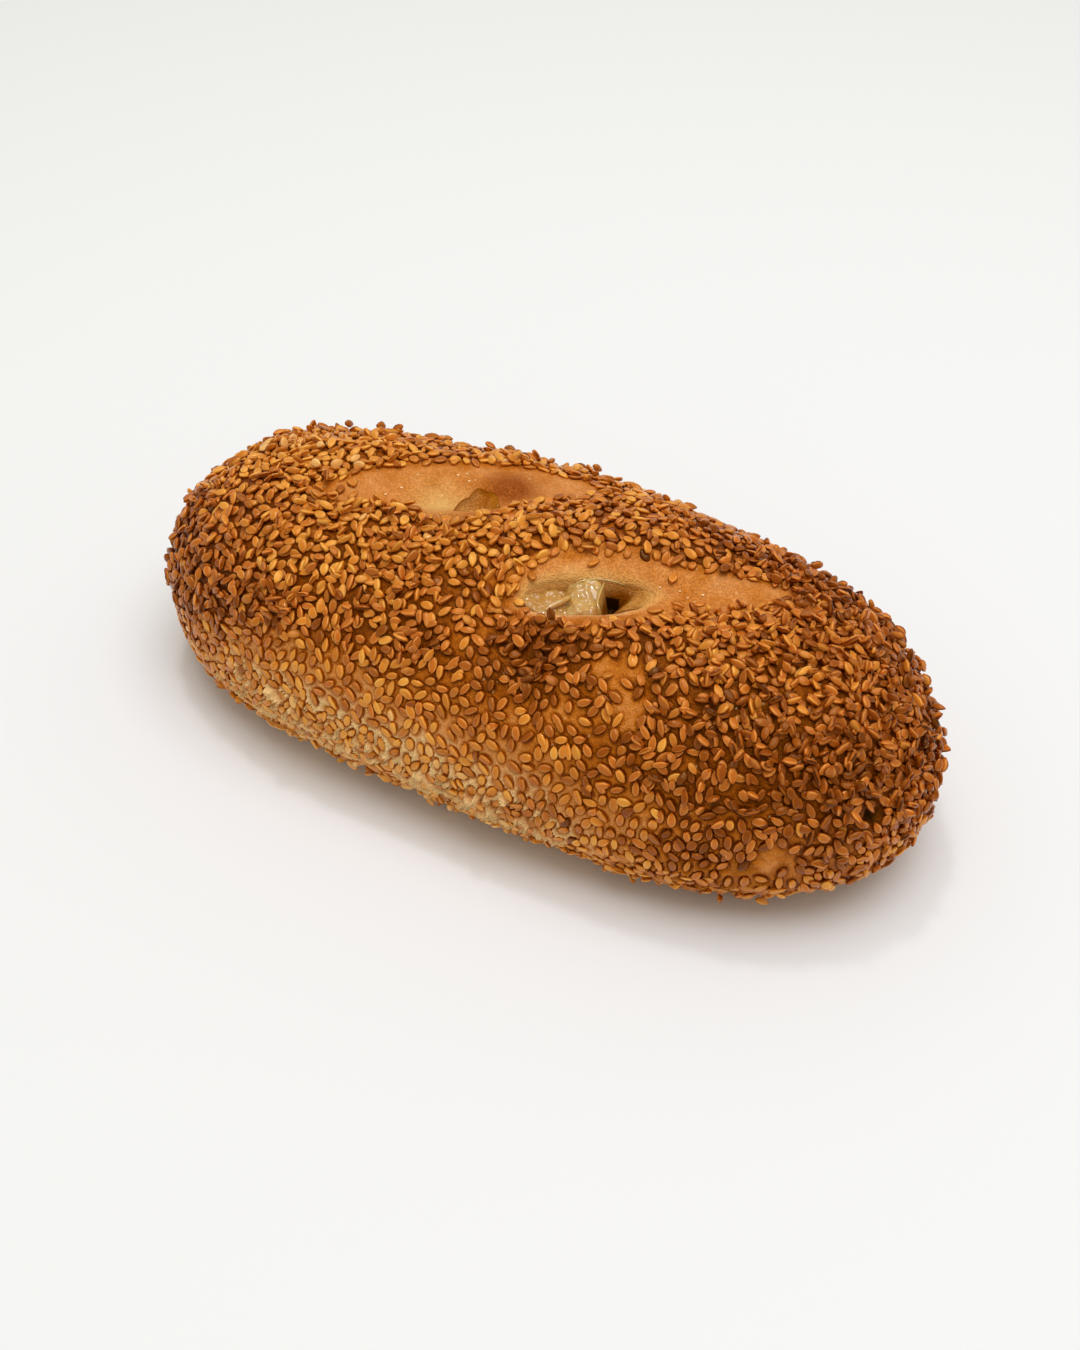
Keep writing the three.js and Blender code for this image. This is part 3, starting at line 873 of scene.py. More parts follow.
def make_cleft(k, name, material, angles=320, floor_rings=72, brow_rings=14, wall_rings=50):
    """A cleft's bare floor and its pocket, on rings round the pocket's mouth.

    Floor rings step from the border to the brow, and brow rings follow its quarter ellipse. Wall
    rings follow the three wall profiles, mixed by how far round each angle is, and their middle
    drifts to the pocket's deepest place. A plain bowl below closes the body.
    """
    cleft = CLEFTS[k]
    pocket = POCKETS[k]
    angle = np.linspace(0, 2 * np.pi, angles, endpoint=False)
    heading = headings(pocket, angle)
    mouth = outline_radius(MOUTHS[k], pocket, angle)
    border = outline_radius(BARE_OUTLINES[k], pocket, angle) + BORDER
    frontness = smooth(0.15, -0.75, np.sin(angle))
    rightness = smooth(0.55, 0.97, np.cos(angle)) * (1 - frontness)
    brow_reach, brow_drop = (front * frontness + back * (1 - frontness)
                             for front, back in zip(pocket["front_brow"], pocket["back_brow"]))
    further, kept_share = pocket["right_brow"]
    brow_reach = brow_reach + further * rightness
    brow_drop = brow_drop * (1 - (1 - kept_share) * rightness)

    def plan(radius, drift=0.0):
        along = pocket["centre"][0] + radius * heading[:, 0] + pocket["shift"][0] * drift
        across = pocket["centre"][1] + radius * heading[:, 1] + pocket["shift"][1] * drift
        return from_frame(cleft, along, across)

    def surface(radius):
        x, y = plan(radius)
        points = np.stack([x, y, top_height(x, y)], -1)
        points[..., Z] += unevenness(points) + bare_texture(points) * smooth(0, 1, radius - mouth)
        off = (np.stack(in_frame(cleft, x, y), -1) - BLISTER["middle"]) / BLISTER["spread"]
        points[..., Z] += pocket["blister"] * np.exp(-(np.sum(off**2, -1) ** 2))
        return points

    share = np.linspace(0, 1, floor_rings)[:, None] ** 0.85
    floor_radius = border + (mouth + brow_reach - border) * share
    floor = surface(floor_radius)
    floor[..., Z] -= BORDER_DIP * (1 - smooth(0, 4, border - floor_radius))
    turn = np.linspace(0, np.pi / 2, brow_rings + 1)[1:, None]
    on_brow = brow_reach * (1 - np.sin(turn))
    dropped = brow_drop * (1 - np.cos(turn))
    brow = surface(mouth + on_brow)
    brow[..., Z] -= dropped

    down = np.linspace(0, 1, wall_rings + 1)[1:-1]
    backness = (1 - frontness) * (1 - rightness)
    mixes = [(BACK_WALL, backness), (FRONT_WALL, frontness), (RIGHT_WALL, rightness)]
    profile = sum(spline(knots, down)[:, None] * part[:, None] for knots, part in mixes)
    x, y = plan(mouth * profile[..., 0], profile[..., 1] ** 2.5)
    rim = brow[-1, :, Z]
    level = rim.mean() - pocket["depth"]
    wall = np.stack([x, y, rim + (level - rim) * profile[..., 1]], -1)
    fade = np.sin(np.pi * down)[:, None]
    wall[..., Z] += fade * 0.4 * noise(wall, 3.6, 21 + k)

    bowl = []
    for radius_share, drop in BOWL_RINGS:
        x, y = plan(mouth * BOWL_START + (border - mouth * BOWL_START) * radius_share)
        bowl.append(np.stack([x, y, floor[0, :, Z] - drop], -1))
    rings = np.concatenate([bowl, floor, brow, wall])
    bottom = np.array([rings[0, :, X].mean(), rings[0, :, Y].mean(), level - 1.5])
    deepest = np.add(pocket["centre"], pocket["shift"])
    centre = np.array([*from_frame(cleft, *deepest), level])
    vertices = np.concatenate([rings.reshape(-1, 3), [bottom, centre]])
    quads, triangles = ring_faces(len(rings), angles)

    far_outside = np.full((len(bowl), angles), 20.0)
    outside = np.concatenate([far_outside, floor_radius - mouth, on_brow, np.zeros(wall.shape[:2])])
    unsunk = np.zeros((len(bowl) + floor_rings, angles))
    sunk = np.concatenate([unsunk, dropped, brow_drop + rim - wall[..., Z]])
    values = cleft_values(k, vertices, outside, sunk)
    return make_piece(name, vertices, quads, triangles, material, values)


def bare_texture(points):
    """Tiny wrinkles of bare dough, and pits a bubble left here and there."""
    fine = 0.035 * noise(points, 0.9, 61) + 0.06 * noise(points, 2.2, 62)
    pits = smooth(0.62, 0.85, noise(points, 1.1, 63)) * smooth(-0.1, 0.5, noise(points, 7, 64))
    return fine - 0.16 * pits


def hill(along, across, middle, spread):
    """A bell over the cleft's plan: exp(-(along off/spread)^2 - (across off/spread)^2)."""
    return np.exp(-(((along - middle[0]) / spread[0]) ** 2) - ((across - middle[1]) / spread[1]) ** 2)


def cleft_values(k, vertices, outside, sunk):
    """Bake, cream, deep, blush and hollow_dark over a cleft's skin, with painted shade and light among
    them.

    They go by distance outside the mouth, by depth below the brow in mm, and by place.
    """
    along, across = in_frame(CLEFTS[k], vertices[:, X], vertices[:, Y])
    outside = np.append(outside.ravel(), [20.0, 0.0])
    sunk = np.append(sunk.ravel(), [0.0, 9.0])
    bake = 0.45 + 0.08 * noise(vertices, 9, 31) + 0.05 * noise(vertices, 3, 32)
    bake += 0.16 * smooth(3.5, 0, inside(BARE_OUTLINES, k, vertices[:, X], vertices[:, Y]))
    hollow_dark = np.zeros(len(vertices))
    if k == 0:
        # The rear cleft: cream beside the pocket and at its left, a blush on the blister to its right.
        # Inside the pocket it is amber, most at the right and just under the brow, where the amber is
        # partly painted light, the glow of the thin rim.
        in_pocket = sunk >= 0.1
        cream = 0.75 * hill(along, across, (-5.8, -2.2), (5.6, 6.2)) * ~in_pocket
        cream += in_pocket * (0.55 - 0.5 * smooth(-1, 4, along))
        blush = np.minimum(1, 1.3 * hill(along, across, (9.2, 3.4), (5.6, 4.2))) * ~in_pocket
        # Amber in the pocket: partly its own colour, partly painted light glowing at the right and at the
        # rim.
        deep = in_pocket * (0.4 + 0.4 * smooth(1, 6, along) + 0.5 * smooth(0.9, 0.1, sunk))
    else:
        # The front cleft: pale behind the pocket and on its lip. The wall goes from cream to deep amber
        # with depth, which is painted shade, and to the right; a lit place there is painted light, and a
        # hole at its foot is painted dark as shade.
        bake -= 0.06 * smooth(4, 9, across)
        bake -= 0.18 * smooth(5, 1, across) * smooth(3, 1.5, outside) * smooth(8, 2, along)
        wall_cream = 0.7 * smooth(0.0, 0.6, sunk)
        brow_cream = 0.45 * smooth(3.2, 0.2, outside)
        cream = smooth(0.5, 4, across) * np.maximum(wall_cream, brow_cream)
        blush = 0.2 * hill(along, across, (2, 13.5), (9, 2.5))
        # Painted shade: deeper in the pocket, the wall is tinted darker amber.
        deep = 0.15 * smooth(0.2, 1, sunk) + 0.35 * smooth(1.8, 3.2, sunk) + 0.5 * smooth(3.2, 5, sunk)
        deep += 0.5 * smooth(-7, -3, along) * smooth(0.2, 1.4, sunk)
        # Painted light: a lit place on the wall is made less amber and more cream.
        lit = hill(along, across, (0.0, 5.0), (3.0, 3.0)) * smooth(1.2, 2.6, sunk)
        deep *= 1 - 0.4 * lit
        cream = np.maximum(cream, 0.3 * lit)
        # Painted shade: hollow_dark paints the bottom of the pocket's deepest hole dark, where only shade
        # falls.
        slant = 0.3 * (along + 5.3)
        hole = np.abs((along + 5.2) / 1.95) ** 3 + np.abs((across - 7.3 + slant) / 1.55) ** 3
        hollow_dark = smooth(1.1, 0.8, hole) * smooth(4.3, 4.7, sunk)
    return {"bake": bake, "cream": np.clip(cream, 0, 1), "deep": np.clip(deep, 0, 1), "blush": blush,
            "hollow_dark": hollow_dark}


# ---- crumb in the front pocket


def bubbles(along, across, count, seed, box, sizes):
    """Height of the highest of many round bubbles: the root of r^2 - d^2 over each one's disc."""
    rng = np.random.default_rng(seed)
    middles = rng.uniform(box[0], box[1], (count, 2))
    radii = rng.uniform(*sizes, count)
    apart = (along[..., None] - middles[:, 0]) ** 2 + (across[..., None] - middles[:, 1]) ** 2
    return np.sqrt(np.maximum(radii**2 - apart, 0)).max(axis=-1)


def front_brow_height():
    """The height of the front pocket's back brow, from which depths in the pocket are counted."""
    return top_height(*from_frame(CLEFTS[1], -9.6, 9.0)) - 0.6


def make_crumb_bed(material, angles=220, rings=90):
    """The moist crumb on the front pocket's floor.

    A bubbly mass lies at the left, a folded one in the middle, and the bed drops to a hole at
    the right. Rings run from under the lip to the pocket's middle, over a plain underside.
    """
    cleft = CLEFTS[1]
    pocket = POCKETS[1]
    angle = np.linspace(0, 2 * np.pi, angles, endpoint=False)
    heading = headings(pocket, angle)
    reach = outline_radius(MOUTHS[1], pocket, angle) * 1.02
    share = np.linspace(1, 0, rings + 1)[:-1, None]
    along = pocket["centre"][0] + reach * share * heading[:, 0]
    across = pocket["centre"][1] + reach * share * heading[:, 1]
    flat = np.stack([along, across, 0 * along], -1)
    left = smooth(-14.0, -15.2, along)
    middle = 1 - left
    depth = left * (2.5 - 1.2 * smooth(-19, -23, along)) + middle * (1.7 + 0.03 * (along + 10.6) ** 2)
    # It lies higher towards the back in the middle, and a little towards the lip.
    depth -= 1.3 * middle * smooth(3.5, 8.5, across)
    depth -= 0.4 * smooth(5, 1, across) + (0.3 + 0.3 * middle) * noise(flat, 2.6, 70)
    # A groove between the two masses, then the drop to the hole, along a slanting uneven line.
    depth += 0.9 * np.exp(-(((along + 14.4) / 0.7) ** 2)) * smooth(1, 4, across)
    depth += 9.0 * smooth(-9.2, -6.4, along - 0.2 * (across - 2.2) + 0.5 * noise(flat, 2.4, 75)) ** 1.5
    # Bubbles, and folds 1.9 mm apart.
    depth -= left * 0.55 * bubbles(along, across, 190, 72, ((-25, -1), (-13, 10)), (0.25, 0.7))
    fold = np.sin(2 * np.pi * (along + 0.16 * across + 0.9 * noise(flat, 3.2, 71)) / 1.9)
    round_ones = bubbles(along, across, 60, 73, ((-14, 0), (-6, 10)), (0.3, 0.7))
    depth -= middle * (0.09 * fold + 0.4 * round_ones)
    x, y = from_frame(cleft, along, across)
    brow = front_brow_height()
    points = np.stack([x, y, brow - depth - 0.04 * noise(flat, 0.8, 74)], -1)
    under = points[0] - [0, 0, 1.0]
    under[:, Z] = np.minimum(under[:, Z], brow - 9.5)
    rings_up = np.concatenate([under[None], points])
    low = np.array([*from_frame(cleft, *pocket["centre"]), brow - 9.8])
    top = points[-1].mean(axis=0)
    vertices = np.concatenate([rings_up.reshape(-1, 3), [low, top]])
    quads, triangles = ring_faces(len(rings_up), angles)
    # Painted shade where the crumb lies deep, and the left mass a little darker, as it is moister.
    moist_and_shade = np.maximum(0.3 * left, smooth(2.4, 5, depth))
    deep = np.concatenate([np.ones(angles), moist_and_shade.ravel(), [1, 0]])
    return make_piece("crumb_bed", vertices, quads, triangles, material, {"deep": deep})


# Soft strings of dough, by their knots as (along, across, depth) in the front cleft, and radius.
STRANDS = [
    ("crumb_curl", [(-13.2, 7.4, 1.3), (-12.0, 8.4, 0.6), (-9.0, 9.0, 0.3), (-5.6, 8.9, 0.7),
                    (-2.6, 8.4, 1.5)], 0.2),
    ("crumb_flap", [(-18.8, 1.0, 1.5), (-17.0, 2.4, 1.35), (-15.2, 3.6, 1.3), (-13.4, 5.6, 1.7)], 0.7),
    ("crumb_web", [(-6.8, 8.8, 0.8), (-7.2, 7.6, 1.0), (-7.9, 5.6, 1.3), (-8.4, 3.4, 1.7),
                   (-8.2, 1.8, 2.0)], 0.3),
]


def make_strand(name, knots, radius, material, sides=10, steps=60):
    """A soft string of dough: a circle carried along a curve, its radius falling to both ends.

    Each ring stands square to the curve, on a side direction crossed with the vertical.
    """
    path = spline(knots, np.linspace(0, 1, steps))
    x, y = from_frame(CLEFTS[1], path[:, 0], path[:, 1])
    path = np.stack([x, y, front_brow_height() - path[:, Z]], -1)
    ahead = unit(np.gradient(path, axis=0))
    side = unit(np.cross(ahead, [0.0, 0.0, 1.0]))
    up = np.cross(side, ahead)
    turn = np.linspace(0, 2 * np.pi, sides, endpoint=False)
    size = radius * np.sin(np.pi * np.linspace(0.03, 0.97, steps)) ** 0.5
    ring = np.cos(turn)[:, None] * side[:, None] + np.sin(turn)[:, None] * up[:, None]
    points = path[:, None] + size[:, None, None] * ring
    ends = np.array([path[0] - ahead[0] * 0.1, path[-1] + ahead[-1] * 0.1])
    vertices = np.concatenate([points.reshape(-1, 3), ends])
    quads, triangles = ring_faces(steps, sides)
    return make_piece(name, vertices, quads, triangles, material, {"deep": np.zeros(len(vertices))})


# ---- sesame


# A seed's outline across: its edge, rim and flat face on top, and a rounder underside.
SEED_SECTION = [(0.5, 0.0), (0.38, 0.36), (0.19, 0.45), (-0.19, 0.45), (-0.38, 0.36), (-0.5, 0.0),
                (-0.28, -0.42), (0.28, -0.42)]
# How light each of these is, from the dark edge over the face to the light rim: the edge's dark is painted
# shade where seeds touch the dough and each other, and the rim's light a painted highlight. The first and
# last rings of a seed, and its two poles, are each of one shade.
SEED_RIM = [0.0, 0.94, 0.64, 0.64, 0.94, 0.0, 0.8, 0.8]
POINTED_TIP_RIM = 0.45
ROUND_TIP_RIM = 0.75
POLE_RIM = 0.2


def seed_form():
    """One seed of unit length, width and thickness, as rings from its point to its round end.

    Half width is sin(pi v^1.15)^(0.8 - 0.35 v), and thickness goes with its root.
    """
    v = np.array([0.06, 0.22, 0.46, 0.72, 0.93])
    wide = np.sin(np.pi * v**1.15) ** (0.8 - 0.35 * v)
    section = np.array(SEED_SECTION)
    x = np.repeat((v - 0.5)[:, None], len(section), axis=1)
    y = wide[:, None] * section[:, 0]
    z = np.sqrt(wide)[:, None] * section[:, 1]
    points = np.concatenate([np.stack([x, y, z], -1).reshape(-1, 3), [[-0.5, 0, 0], [0.5, 0, 0]]])
    rim = np.tile(SEED_RIM, (len(v), 1))
    rim[0] = POINTED_TIP_RIM
    rim[-1] = ROUND_TIP_RIM
    quads, triangles = ring_faces(len(v), len(section))
    return points, np.append(rim, [POLE_RIM, POLE_RIM]), quads, triangles


def candidate_places(count, rng):
    """Random places on the dough, even over its area: s and t drawn, kept by the area they cover."""
    s = rng.uniform(-0.9995, 0.9995, count)
    t = rng.uniform(0, 2 * np.pi, count)
    cross = skin_cross(s, t)
    area = np.linalg.norm(cross, axis=-1)
    kept = rng.random(count) < area / np.quantile(area, 0.99)
    points = skin(s[kept], t[kept])
    normals = cross[kept] / area[kept][:, None]
    return points + normals * unevenness(points)[:, None], normals


def close_pairs(points, others, reach):
    """Index pairs of points within reach of others, by sorting the others into cubic cells."""

    def cell_key(cells):
        return (cells[:, 0] * 1000 + cells[:, 1]) * 1000 + cells[:, 2]

    keys = cell_key(np.floor(others / reach).astype(np.int64))
    order = np.argsort(keys)
    home = np.floor(points / reach).astype(np.int64)
    pairs = []
    for step in np.ndindex(3, 3, 3):
        key = cell_key(home + np.array(step) - 1)
        low = np.searchsorted(keys[order], key, "left")
        count = np.searchsorted(keys[order], key, "right") - low
        first = np.repeat(np.arange(len(points)), count)
        offset = np.repeat(low - np.cumsum(count) + count, count)
        pairs.append(np.stack([first, order[offset + np.arange(len(first))]]))
    i, j = np.concatenate(pairs, axis=1)
    near = np.linalg.norm(points[i] - others[j], axis=1) < reach
    return i[near], j[near]


def contact_distance(apart, axis_a, axis_b):
    """How close two lying seeds can come: the closed form for two like ellipses.

    width / sqrt(1 - k/2 ((ra+rb)^2/(1+k ab) + (ra-rb)^2/(1-k ab))), with k from the aspect, r the
    direction between their middles, and a and b their long axes.
    """
    aspect = (SEED_SIZE[0] / SEED_SIZE[1]) ** 2
    k = (aspect - 1) / (aspect + 1)
    direction = unit(apart)
    ra = np.sum(direction * axis_a, -1)
    rb = np.sum(direction * axis_b, -1)
    ab = np.sum(axis_a * axis_b, -1)
    inner = (ra + rb) ** 2 / (1 + k * ab) + (ra - rb) ** 2 / (1 - k * ab)
    return SEED_SIZE[1] / np.sqrt(1 - k / 2 * inner)


def tangent_axes(normals, rng):
    """A random direction in each tangent plane."""
    draw = rng.normal(size=normals.shape) * [1.0, 1.0, 1.4]
    return unit(draw - np.sum(draw * normals, -1, keepdims=True) * normals)


def keep_clear(drawn, others, clearance, earlier_only=False):
    """The drawn places that come no closer to others than their clearance, a share of contact.

    With earlier_only, others count only if their number is lower than the drawn place's own.
    """
    i, j = close_pairs(drawn[0], others[0], 1.25 * SEED_SIZE[0])
    if earlier_only:
        i, j = i[j < i], j[j < i]
    apart = drawn[0][i] - others[0][j]
    contact = clearance(drawn[0])[i] * contact_distance(apart, drawn[2][i], others[2][j])
    clear = np.ones(len(drawn[0]), bool)
    clear[i[np.linalg.norm(apart, axis=1) < contact]] = False
    return [values[clear] for values in drawn]


def lay_out(allowed, clearance, rounds, rng):
    """Places for seeds that keep clear of each other: draws of many places, round after round.

    A drawn place is dropped if it isn't allowed, or comes too close to a place kept before. The
    nth of those left is dropped too if it comes too close to one of the first n - 1 allowed: all
    the earlier ones in the first round, and fewer in the later rounds, which find little room.
    """
    kept = [np.zeros((0, 3))] * 3
    for _ in range(rounds):
        points, normals = candidate_places(SEED_DRAWS, rng)
        axes = tangent_axes(normals, rng)
        free = rng.random(len(points)) < allowed(points)
        drawn = [values[free] for values in (points, normals, axes)]
        clear = keep_clear(keep_clear(drawn, kept, clearance), drawn, clearance, earlier_only=True)
        kept = [np.concatenate(both) for both in zip(kept, clear)]
    return dict(zip(("point", "normal", "axis"), kept))


def edge_of_bare(points):
    """Distance outside the nearest cleft's bare dough, frayed by noise; large on the sides."""
    x, y, z = np.moveaxis(points, -1, 0)
    deepest = np.maximum(inside(BARE_OUTLINES, 0, x, y), inside(BARE_OUTLINES, 1, x, y))
    return np.where(z > CLEFTS_ABOVE, 0.6 + 0.9 * noise(points, 3.5, 41) - deepest, 50.0)


def bare_places(points):
    """How bare the small bare places outside the clefts are, 0 to 1."""
    return np.minimum(1, sum(1.6 * bell(points, middle, spread) for _, middle, spread in BARE_SPOTS))


def crowding(points):
    """How thickly seeds lie heaped, 0 to 1: above the heap line, and along the loaf's foot."""
    above = above_heap_line(points)
    heaped = smooth(-2, 3, above) * (0.5 + 0.5 * noise(points, 8, 42))
    heaped = heaped + 0.28 * smooth(-11, -3, above) * smooth(34, 52, points[..., X])
    heaped = heaped + soft_patches(points, spots=HEAPS)
    foot = 0.6 * smooth(11, 7, points[..., Z])
    return np.clip(np.maximum(heaped, foot), 0, 1)


def thin_places(points):
    """Where the lying layer thins out, 0 to 1: the places of negative heaps."""
    return sum(bell(points, middle, spread) for amount, middle, spread in HEAPS if amount < 0)


def scatter_seeds(rng):
    """All seeds' places, and those of the layer that lies on the dough.

    Over that layer come two tilted ones where seeds are heaped, and a few seeds on end.
    """

    def lying(points):
        return (points[:, Z] > 0.9) * (edge_of_bare(points) > 0) * (1 - bare_places(points))

    def piled(points):
        clear = (points[:, Z] > 1.5) & (edge_of_bare(points) > 0.7)
        return clear * crowding(points) * (1 - bare_places(points))

    def piled_high(points):
        return smooth(0.55, 1, piled(points))

    def standing(points):
        ridge = np.maximum(smooth(44, 68, points[:, X]), 0.3 * smooth(10, 26, points[:, Y]))
        return smooth(0.5, 0.95, piled(points)) * (0.06 + 0.3 * ridge)

    def lying_clearance(points):
        low = smooth(-20, -36, points[:, Y]) * smooth(30, 20, points[:, Z])
        return 0.91 - 0.05 * low - 0.14 * crowding(points) + 0.03 * smooth(0.2, 0.9, thin_places(points))

    def even_clearance(share):
        return lambda points: np.full(len(points), share)

    # Each layer's places, clearance and rounds, then the mean and spread of its seeds' lift in mm,
    # and how far they turn over sideways and lengthways in degrees.
    layers = [
        (lying, lying_clearance, 14, (0.26, 0.06), (10, 6)),
        (piled, even_clearance(0.95), 9, (0.85, 0.18), (32, 16)),
        (piled_high, even_clearance(1.1), 6, (1.5, 0.25), (58, 26)),
        (standing, even_clearance(1.4), 3, (2.1, 0.3), (70, 60)),
    ]
    laid = [lay_out(allowed, clearance, rounds, rng) for allowed, clearance, rounds, _, _ in layers]
    for places, (_, _, _, lift, turns) in zip(laid, layers):
        count = len(places["point"])
        places["lift"] = rng.normal(*lift, count) + 0.14 * torn_band(places["point"])
        places["tilt"] = rng.normal(0, turns[0], count)
        places["pitch"] = rng.normal(0, turns[1], count)
    x, y = np.array(LONE_SEEDS).T
    spots = np.stack([x, y, top_height(x, y)], -1)
    spots[:, Z] += unevenness(spots)
    count = len(spots)
    upward = np.tile([0.0, 0.0, 1.0], (count, 1))
    lone = dict(point=spots, normal=upward, axis=tangent_axes(upward, rng), lift=np.full(count, 0.35),
                tilt=np.zeros(count), pitch=np.zeros(count))
    merged = {key: np.concatenate([places[key] for places in (*laid, lone)]) for key in lone}
    return merged, laid[0]


def rotate(vectors, axes, degrees):
    """Each vector turned about its axis by its angle, by Rodrigues' formula."""
    angle = np.radians(degrees)[:, None]
    along = np.sum(vectors * axes, -1, keepdims=True)
    return (vectors * np.cos(angle) + np.cross(axes, vectors) * np.sin(angle)
            + axes * along * (1 - np.cos(angle)))


def make_seed_piece(name, places, chosen, browning, material, rng):
    """One joined mesh of the chosen seeds, each stretched a little and set in its own frame."""
    form, rim, quads, triangles = seed_form()
    count = len(chosen)
    size = SEED_SIZE * rng.normal(1, SEED_SPREAD, (count, 3)).clip(0.74, 1.32)
    normal, axis = places["normal"][chosen], places["axis"][chosen]
    up = rotate(normal, axis, places["tilt"][chosen])
    side = np.cross(up, axis)
    length = rotate(axis, side, places["pitch"][chosen])
    up = np.cross(length, side)
    middle = places["point"][chosen] + normal * places["lift"][chosen][:, None]
    local = form[None] * size[:, None]
    points = (middle[:, None] + local[..., :1] * length[:, None] + local[..., 1:2] * side[:, None]
              + local[..., 2:] * up[:, None])
    low = points[..., Z].min(axis=1)
    points[..., Z] += np.maximum(0.02 - low, 0)[:, None]
    values = {"rim": np.tile(rim, count), "browning": np.repeat(browning, len(form))}
    return make_piece(name, points, copies_of_faces(quads, len(form), count),
                      copies_of_faces(triangles, len(form), count), material, values)


def make_glint_specks(material):
    """Pale specks, painted highlights for the bare dough's small glossy glints, in a seed's form made
    small and flat, each 0.35 to 0.6 mm long.
    """
    form, _, quads, triangles = seed_form()
    x, y = np.array([from_frame(CLEFTS[k], along, across) for k, along, across in GLINT_SPECKS]).T
    middle = np.stack([x, y, top_height(x, y)], -1)
    middle[:, Z] += unevenness(middle) + 0.05
    count = len(middle)
    size = np.random.default_rng(91).uniform(0.35, 0.6, count)
    points = middle[:, None] + form * [1.0, 1.2, 0.5] * size[:, None, None]
    return make_piece("glint_specks", points, copies_of_faces(quads, len(form), count),
                      copies_of_faces(triangles, len(form), count), material)


# Seeds by baking: how toasted they are, from and to, and the colours of their parts; the dark edge is
# painted shade and the light rim a painted highlight.
SEED_KINDS = [
    dict(name="pale_sesame", tone=(-9, -0.03), slot="golden_sesame", edge=srgb(190, 108, 26),
         face=srgb(236, 170, 84), rim=srgb(252, 212, 146), burn=srgb(204, 118, 30), gloss=1.0),
    dict(name="golden_sesame", tone=(-0.03, 0.36), slot="golden_sesame", edge=srgb(158, 78, 4),
         face=srgb(228, 140, 36), rim=srgb(246, 192, 98), burn=srgb(176, 88, 8), gloss=1.0),
    dict(name="amber_sesame", tone=(0.36, 0.61), slot="golden_sesame", edge=srgb(130, 58, 1),
         face=srgb(210, 112, 16), rim=srgb(240, 173, 80), burn=srgb(146, 68, 4), gloss=1.0),
    dict(name="toasted_sesame", tone=(0.61, 0.98), slot="toasted_sesame", edge=srgb(100, 40, 0),
         face=srgb(187, 86, 4), rim=srgb(231, 155, 70), burn=srgb(112, 42, 0), gloss=1.0),
    dict(name="burnt_sesame", tone=(0.98, 9), slot="toasted_sesame", edge=srgb(62, 24, 0),
         face=srgb(134, 57, 3), rim=srgb(192, 106, 30), burn=srgb(72, 26, 0), gloss=0.7),
]


def make_seeds(places, rng, grain):
    """Seeds sorted by how toasted they are into five pieces, each with its own material."""
    points = places["point"]
    tone = toasting(points) + rng.normal(0, 0.2, len(points))
    tone[-len(LONE_SEEDS):] = LONE_TONE
    for kind in SEED_KINDS:
        low, high = kind["tone"]
        chosen = np.flatnonzero((tone >= low) & (tone < high))
        browning = np.clip(rng.normal(0.2, 0.24, len(chosen)), 0, 0.9)
        material = make_seed_material(kind, grain)
        piece = make_seed_piece(kind["name"], places, chosen, browning, material, rng)
        stand_for_loaf(piece)


# ---- stage, light and camera

FLOOR_HALF = 3.0  # metres
SURROUND_COLOUR = (1.0, 0.99, 0.86, 1)
SURROUND_STRENGTH = 0.56
LAMP_COLOUR = (1.0, 1.01, 1.1)
# Round lamps that face the loaf: name, breadth in metres, watts and place in metres.
LAMPS = [("softbox", 1.1, 8.2, (0.22, -0.01, 1.2)), ("small_lamp", 0.13, 1.55, (-0.24, 0.2, 1.15))]

CAMERA_AZIMUTH = 30.11  # degrees round to the right of the front
CAMERA_ELEVATION = 42.5  # degrees down
CAMERA_PLACE = (136.71, -236.08, 260.88)
FOCAL_LENGTH = 45.0
SENSOR_WIDTH = 36  # mm, like the focal length


def make_stage():
    """A plain pale floor."""
    mesh = bpy.data.meshes.new("floor")
    corners = [(x * FLOOR_HALF, y * FLOOR_HALF, 0) for x, y in ((-1, -1), (1, -1), (1, 1), (-1, 1))]
    mesh.from_pydata(corners, [], [(0, 1, 2, 3)])
    material, _, _ = new_material("Pale floor", {
        "Base Color": (0.84, 0.84, 0.84, 1), "Roughness": 0.7, "Specular IOR Level": 0.2})
    mesh.materials.append(material)
    floor = bpy.data.objects.new("floor", mesh)
    bpy.context.scene.collection.objects.link(floor)


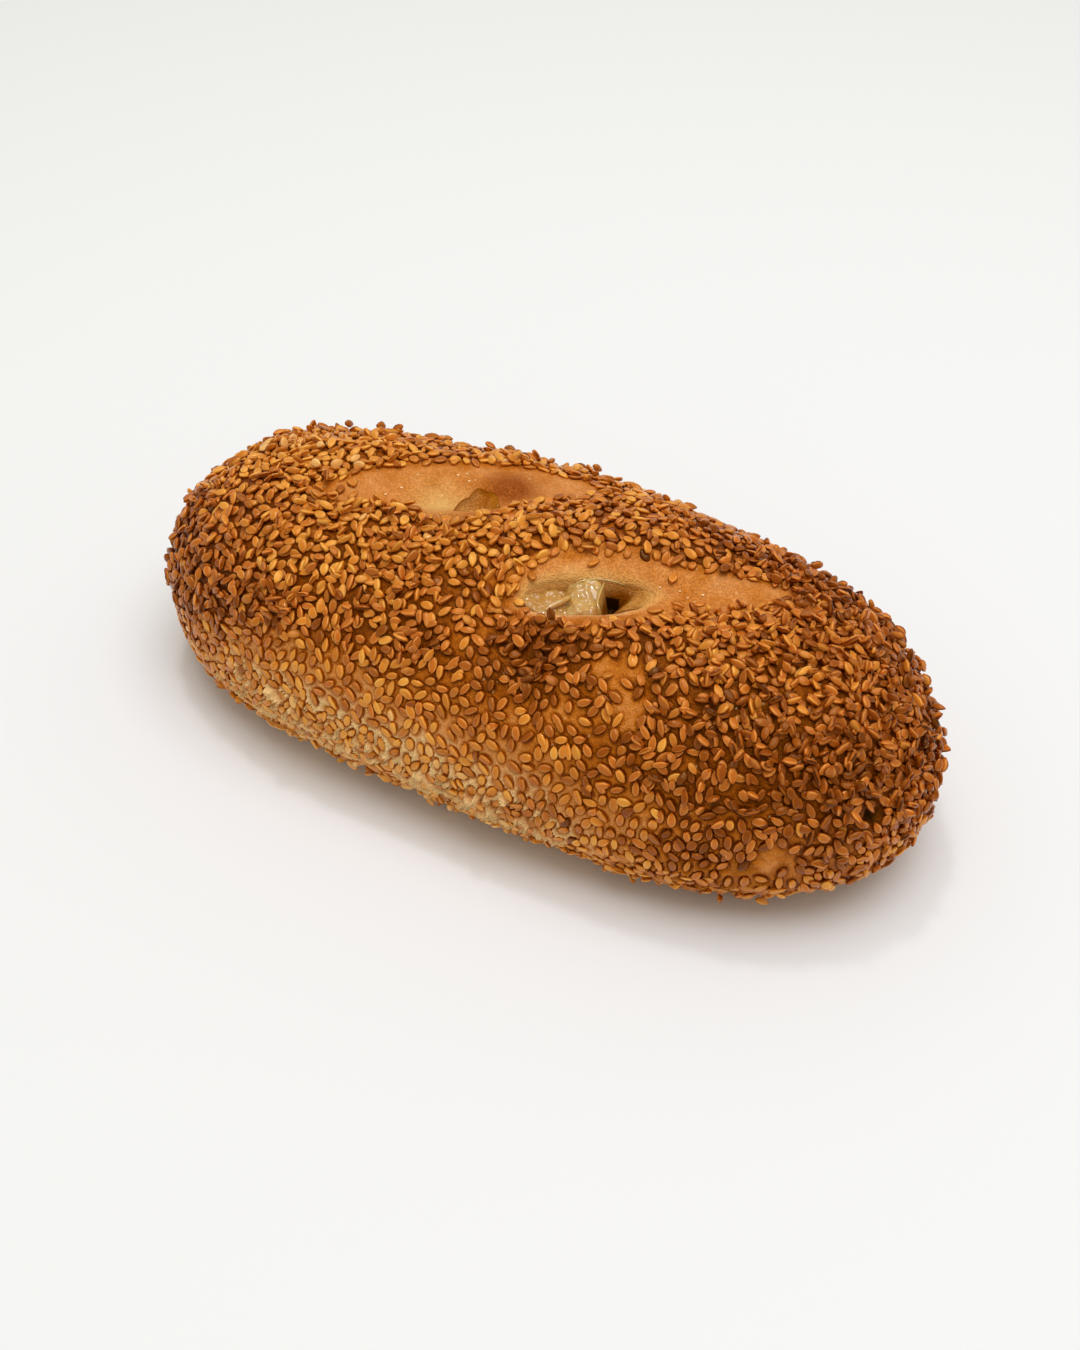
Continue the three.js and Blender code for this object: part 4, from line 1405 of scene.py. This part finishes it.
def make_light():
    """An even warm white surround, a broad soft lamp overhead, and a small one to the left of it."""
    world = bpy.data.worlds.new("Studio")
    world.use_nodes = True
    background = world.node_tree.nodes["Background"]
    background.inputs["Color"].default_value = SURROUND_COLOUR
    background.inputs["Strength"].default_value = SURROUND_STRENGTH
    bpy.context.scene.world = world
    for name, size, energy, place in LAMPS:
        lamp = bpy.data.lights.new(name, "AREA")
        lamp.shape = "DISK"
        lamp.size = size
        lamp.energy = energy
        lamp.color = LAMP_COLOUR
        holder = bpy.data.objects.new(name, lamp)
        holder.location = place
        holder.rotation_euler = (-Vector(place)).to_track_quat("-Z", "Y").to_euler()
        bpy.context.scene.collection.objects.link(holder)
    bpy.context.scene.view_settings.view_transform = "Standard"


def make_camera():
    """A camera looking down on the loaf's front right, level from side to side."""
    azimuth = math.radians(CAMERA_AZIMUTH)
    elevation = math.radians(CAMERA_ELEVATION)
    back = Vector((math.sin(azimuth) * math.cos(elevation), -math.cos(azimuth) * math.cos(elevation),
                   math.sin(elevation)))
    right = Vector((math.cos(azimuth), math.sin(azimuth), 0))
    up = back.cross(right)
    data = bpy.data.cameras.new("camera")
    data.lens = FOCAL_LENGTH
    data.sensor_width = SENSOR_WIDTH
    data.clip_start = 0.01
    camera = bpy.data.objects.new("camera", data)
    turn = Matrix((right, up, back)).transposed().to_4x4()
    camera.matrix_world = Matrix.Translation(Vector(CAMERA_PLACE) * MM) @ turn
    bpy.context.scene.collection.objects.link(camera)
    bpy.context.scene.camera = camera


# ---- making it all

make_camera()
make_light()
make_stage()
grain_group = make_grain_group()
crust_material = make_crust_material(grain_group)
seed_draws = np.random.default_rng(2024)
all_seeds, lying_seeds = scatter_seeds(seed_draws)
stand_for_loaf(make_crust(crust_material, lying_seeds))
stand_for_loaf(make_low_front(crust_material, lying_seeds))
stand_for_loaf(make_cleft(0, "rear_cleft", crust_material))
stand_for_loaf(make_cleft(1, "front_cleft", crust_material))
crumb_material = make_crumb_material(grain_group)
stand_for_loaf(make_crumb_bed(crumb_material))
for strand in STRANDS:
    stand_for_loaf(make_strand(*strand, crumb_material))
make_seeds(all_seeds, seed_draws, grain_group)
# Pale specks that are painted highlights, the bare dough's glossy glints.
glint_material, _, _ = new_material("Painted glint specks", {"Roughness": 0.4, "Base Color": srgb(250, 214, 160)})
stand_for_loaf(make_glint_specks(glint_material))
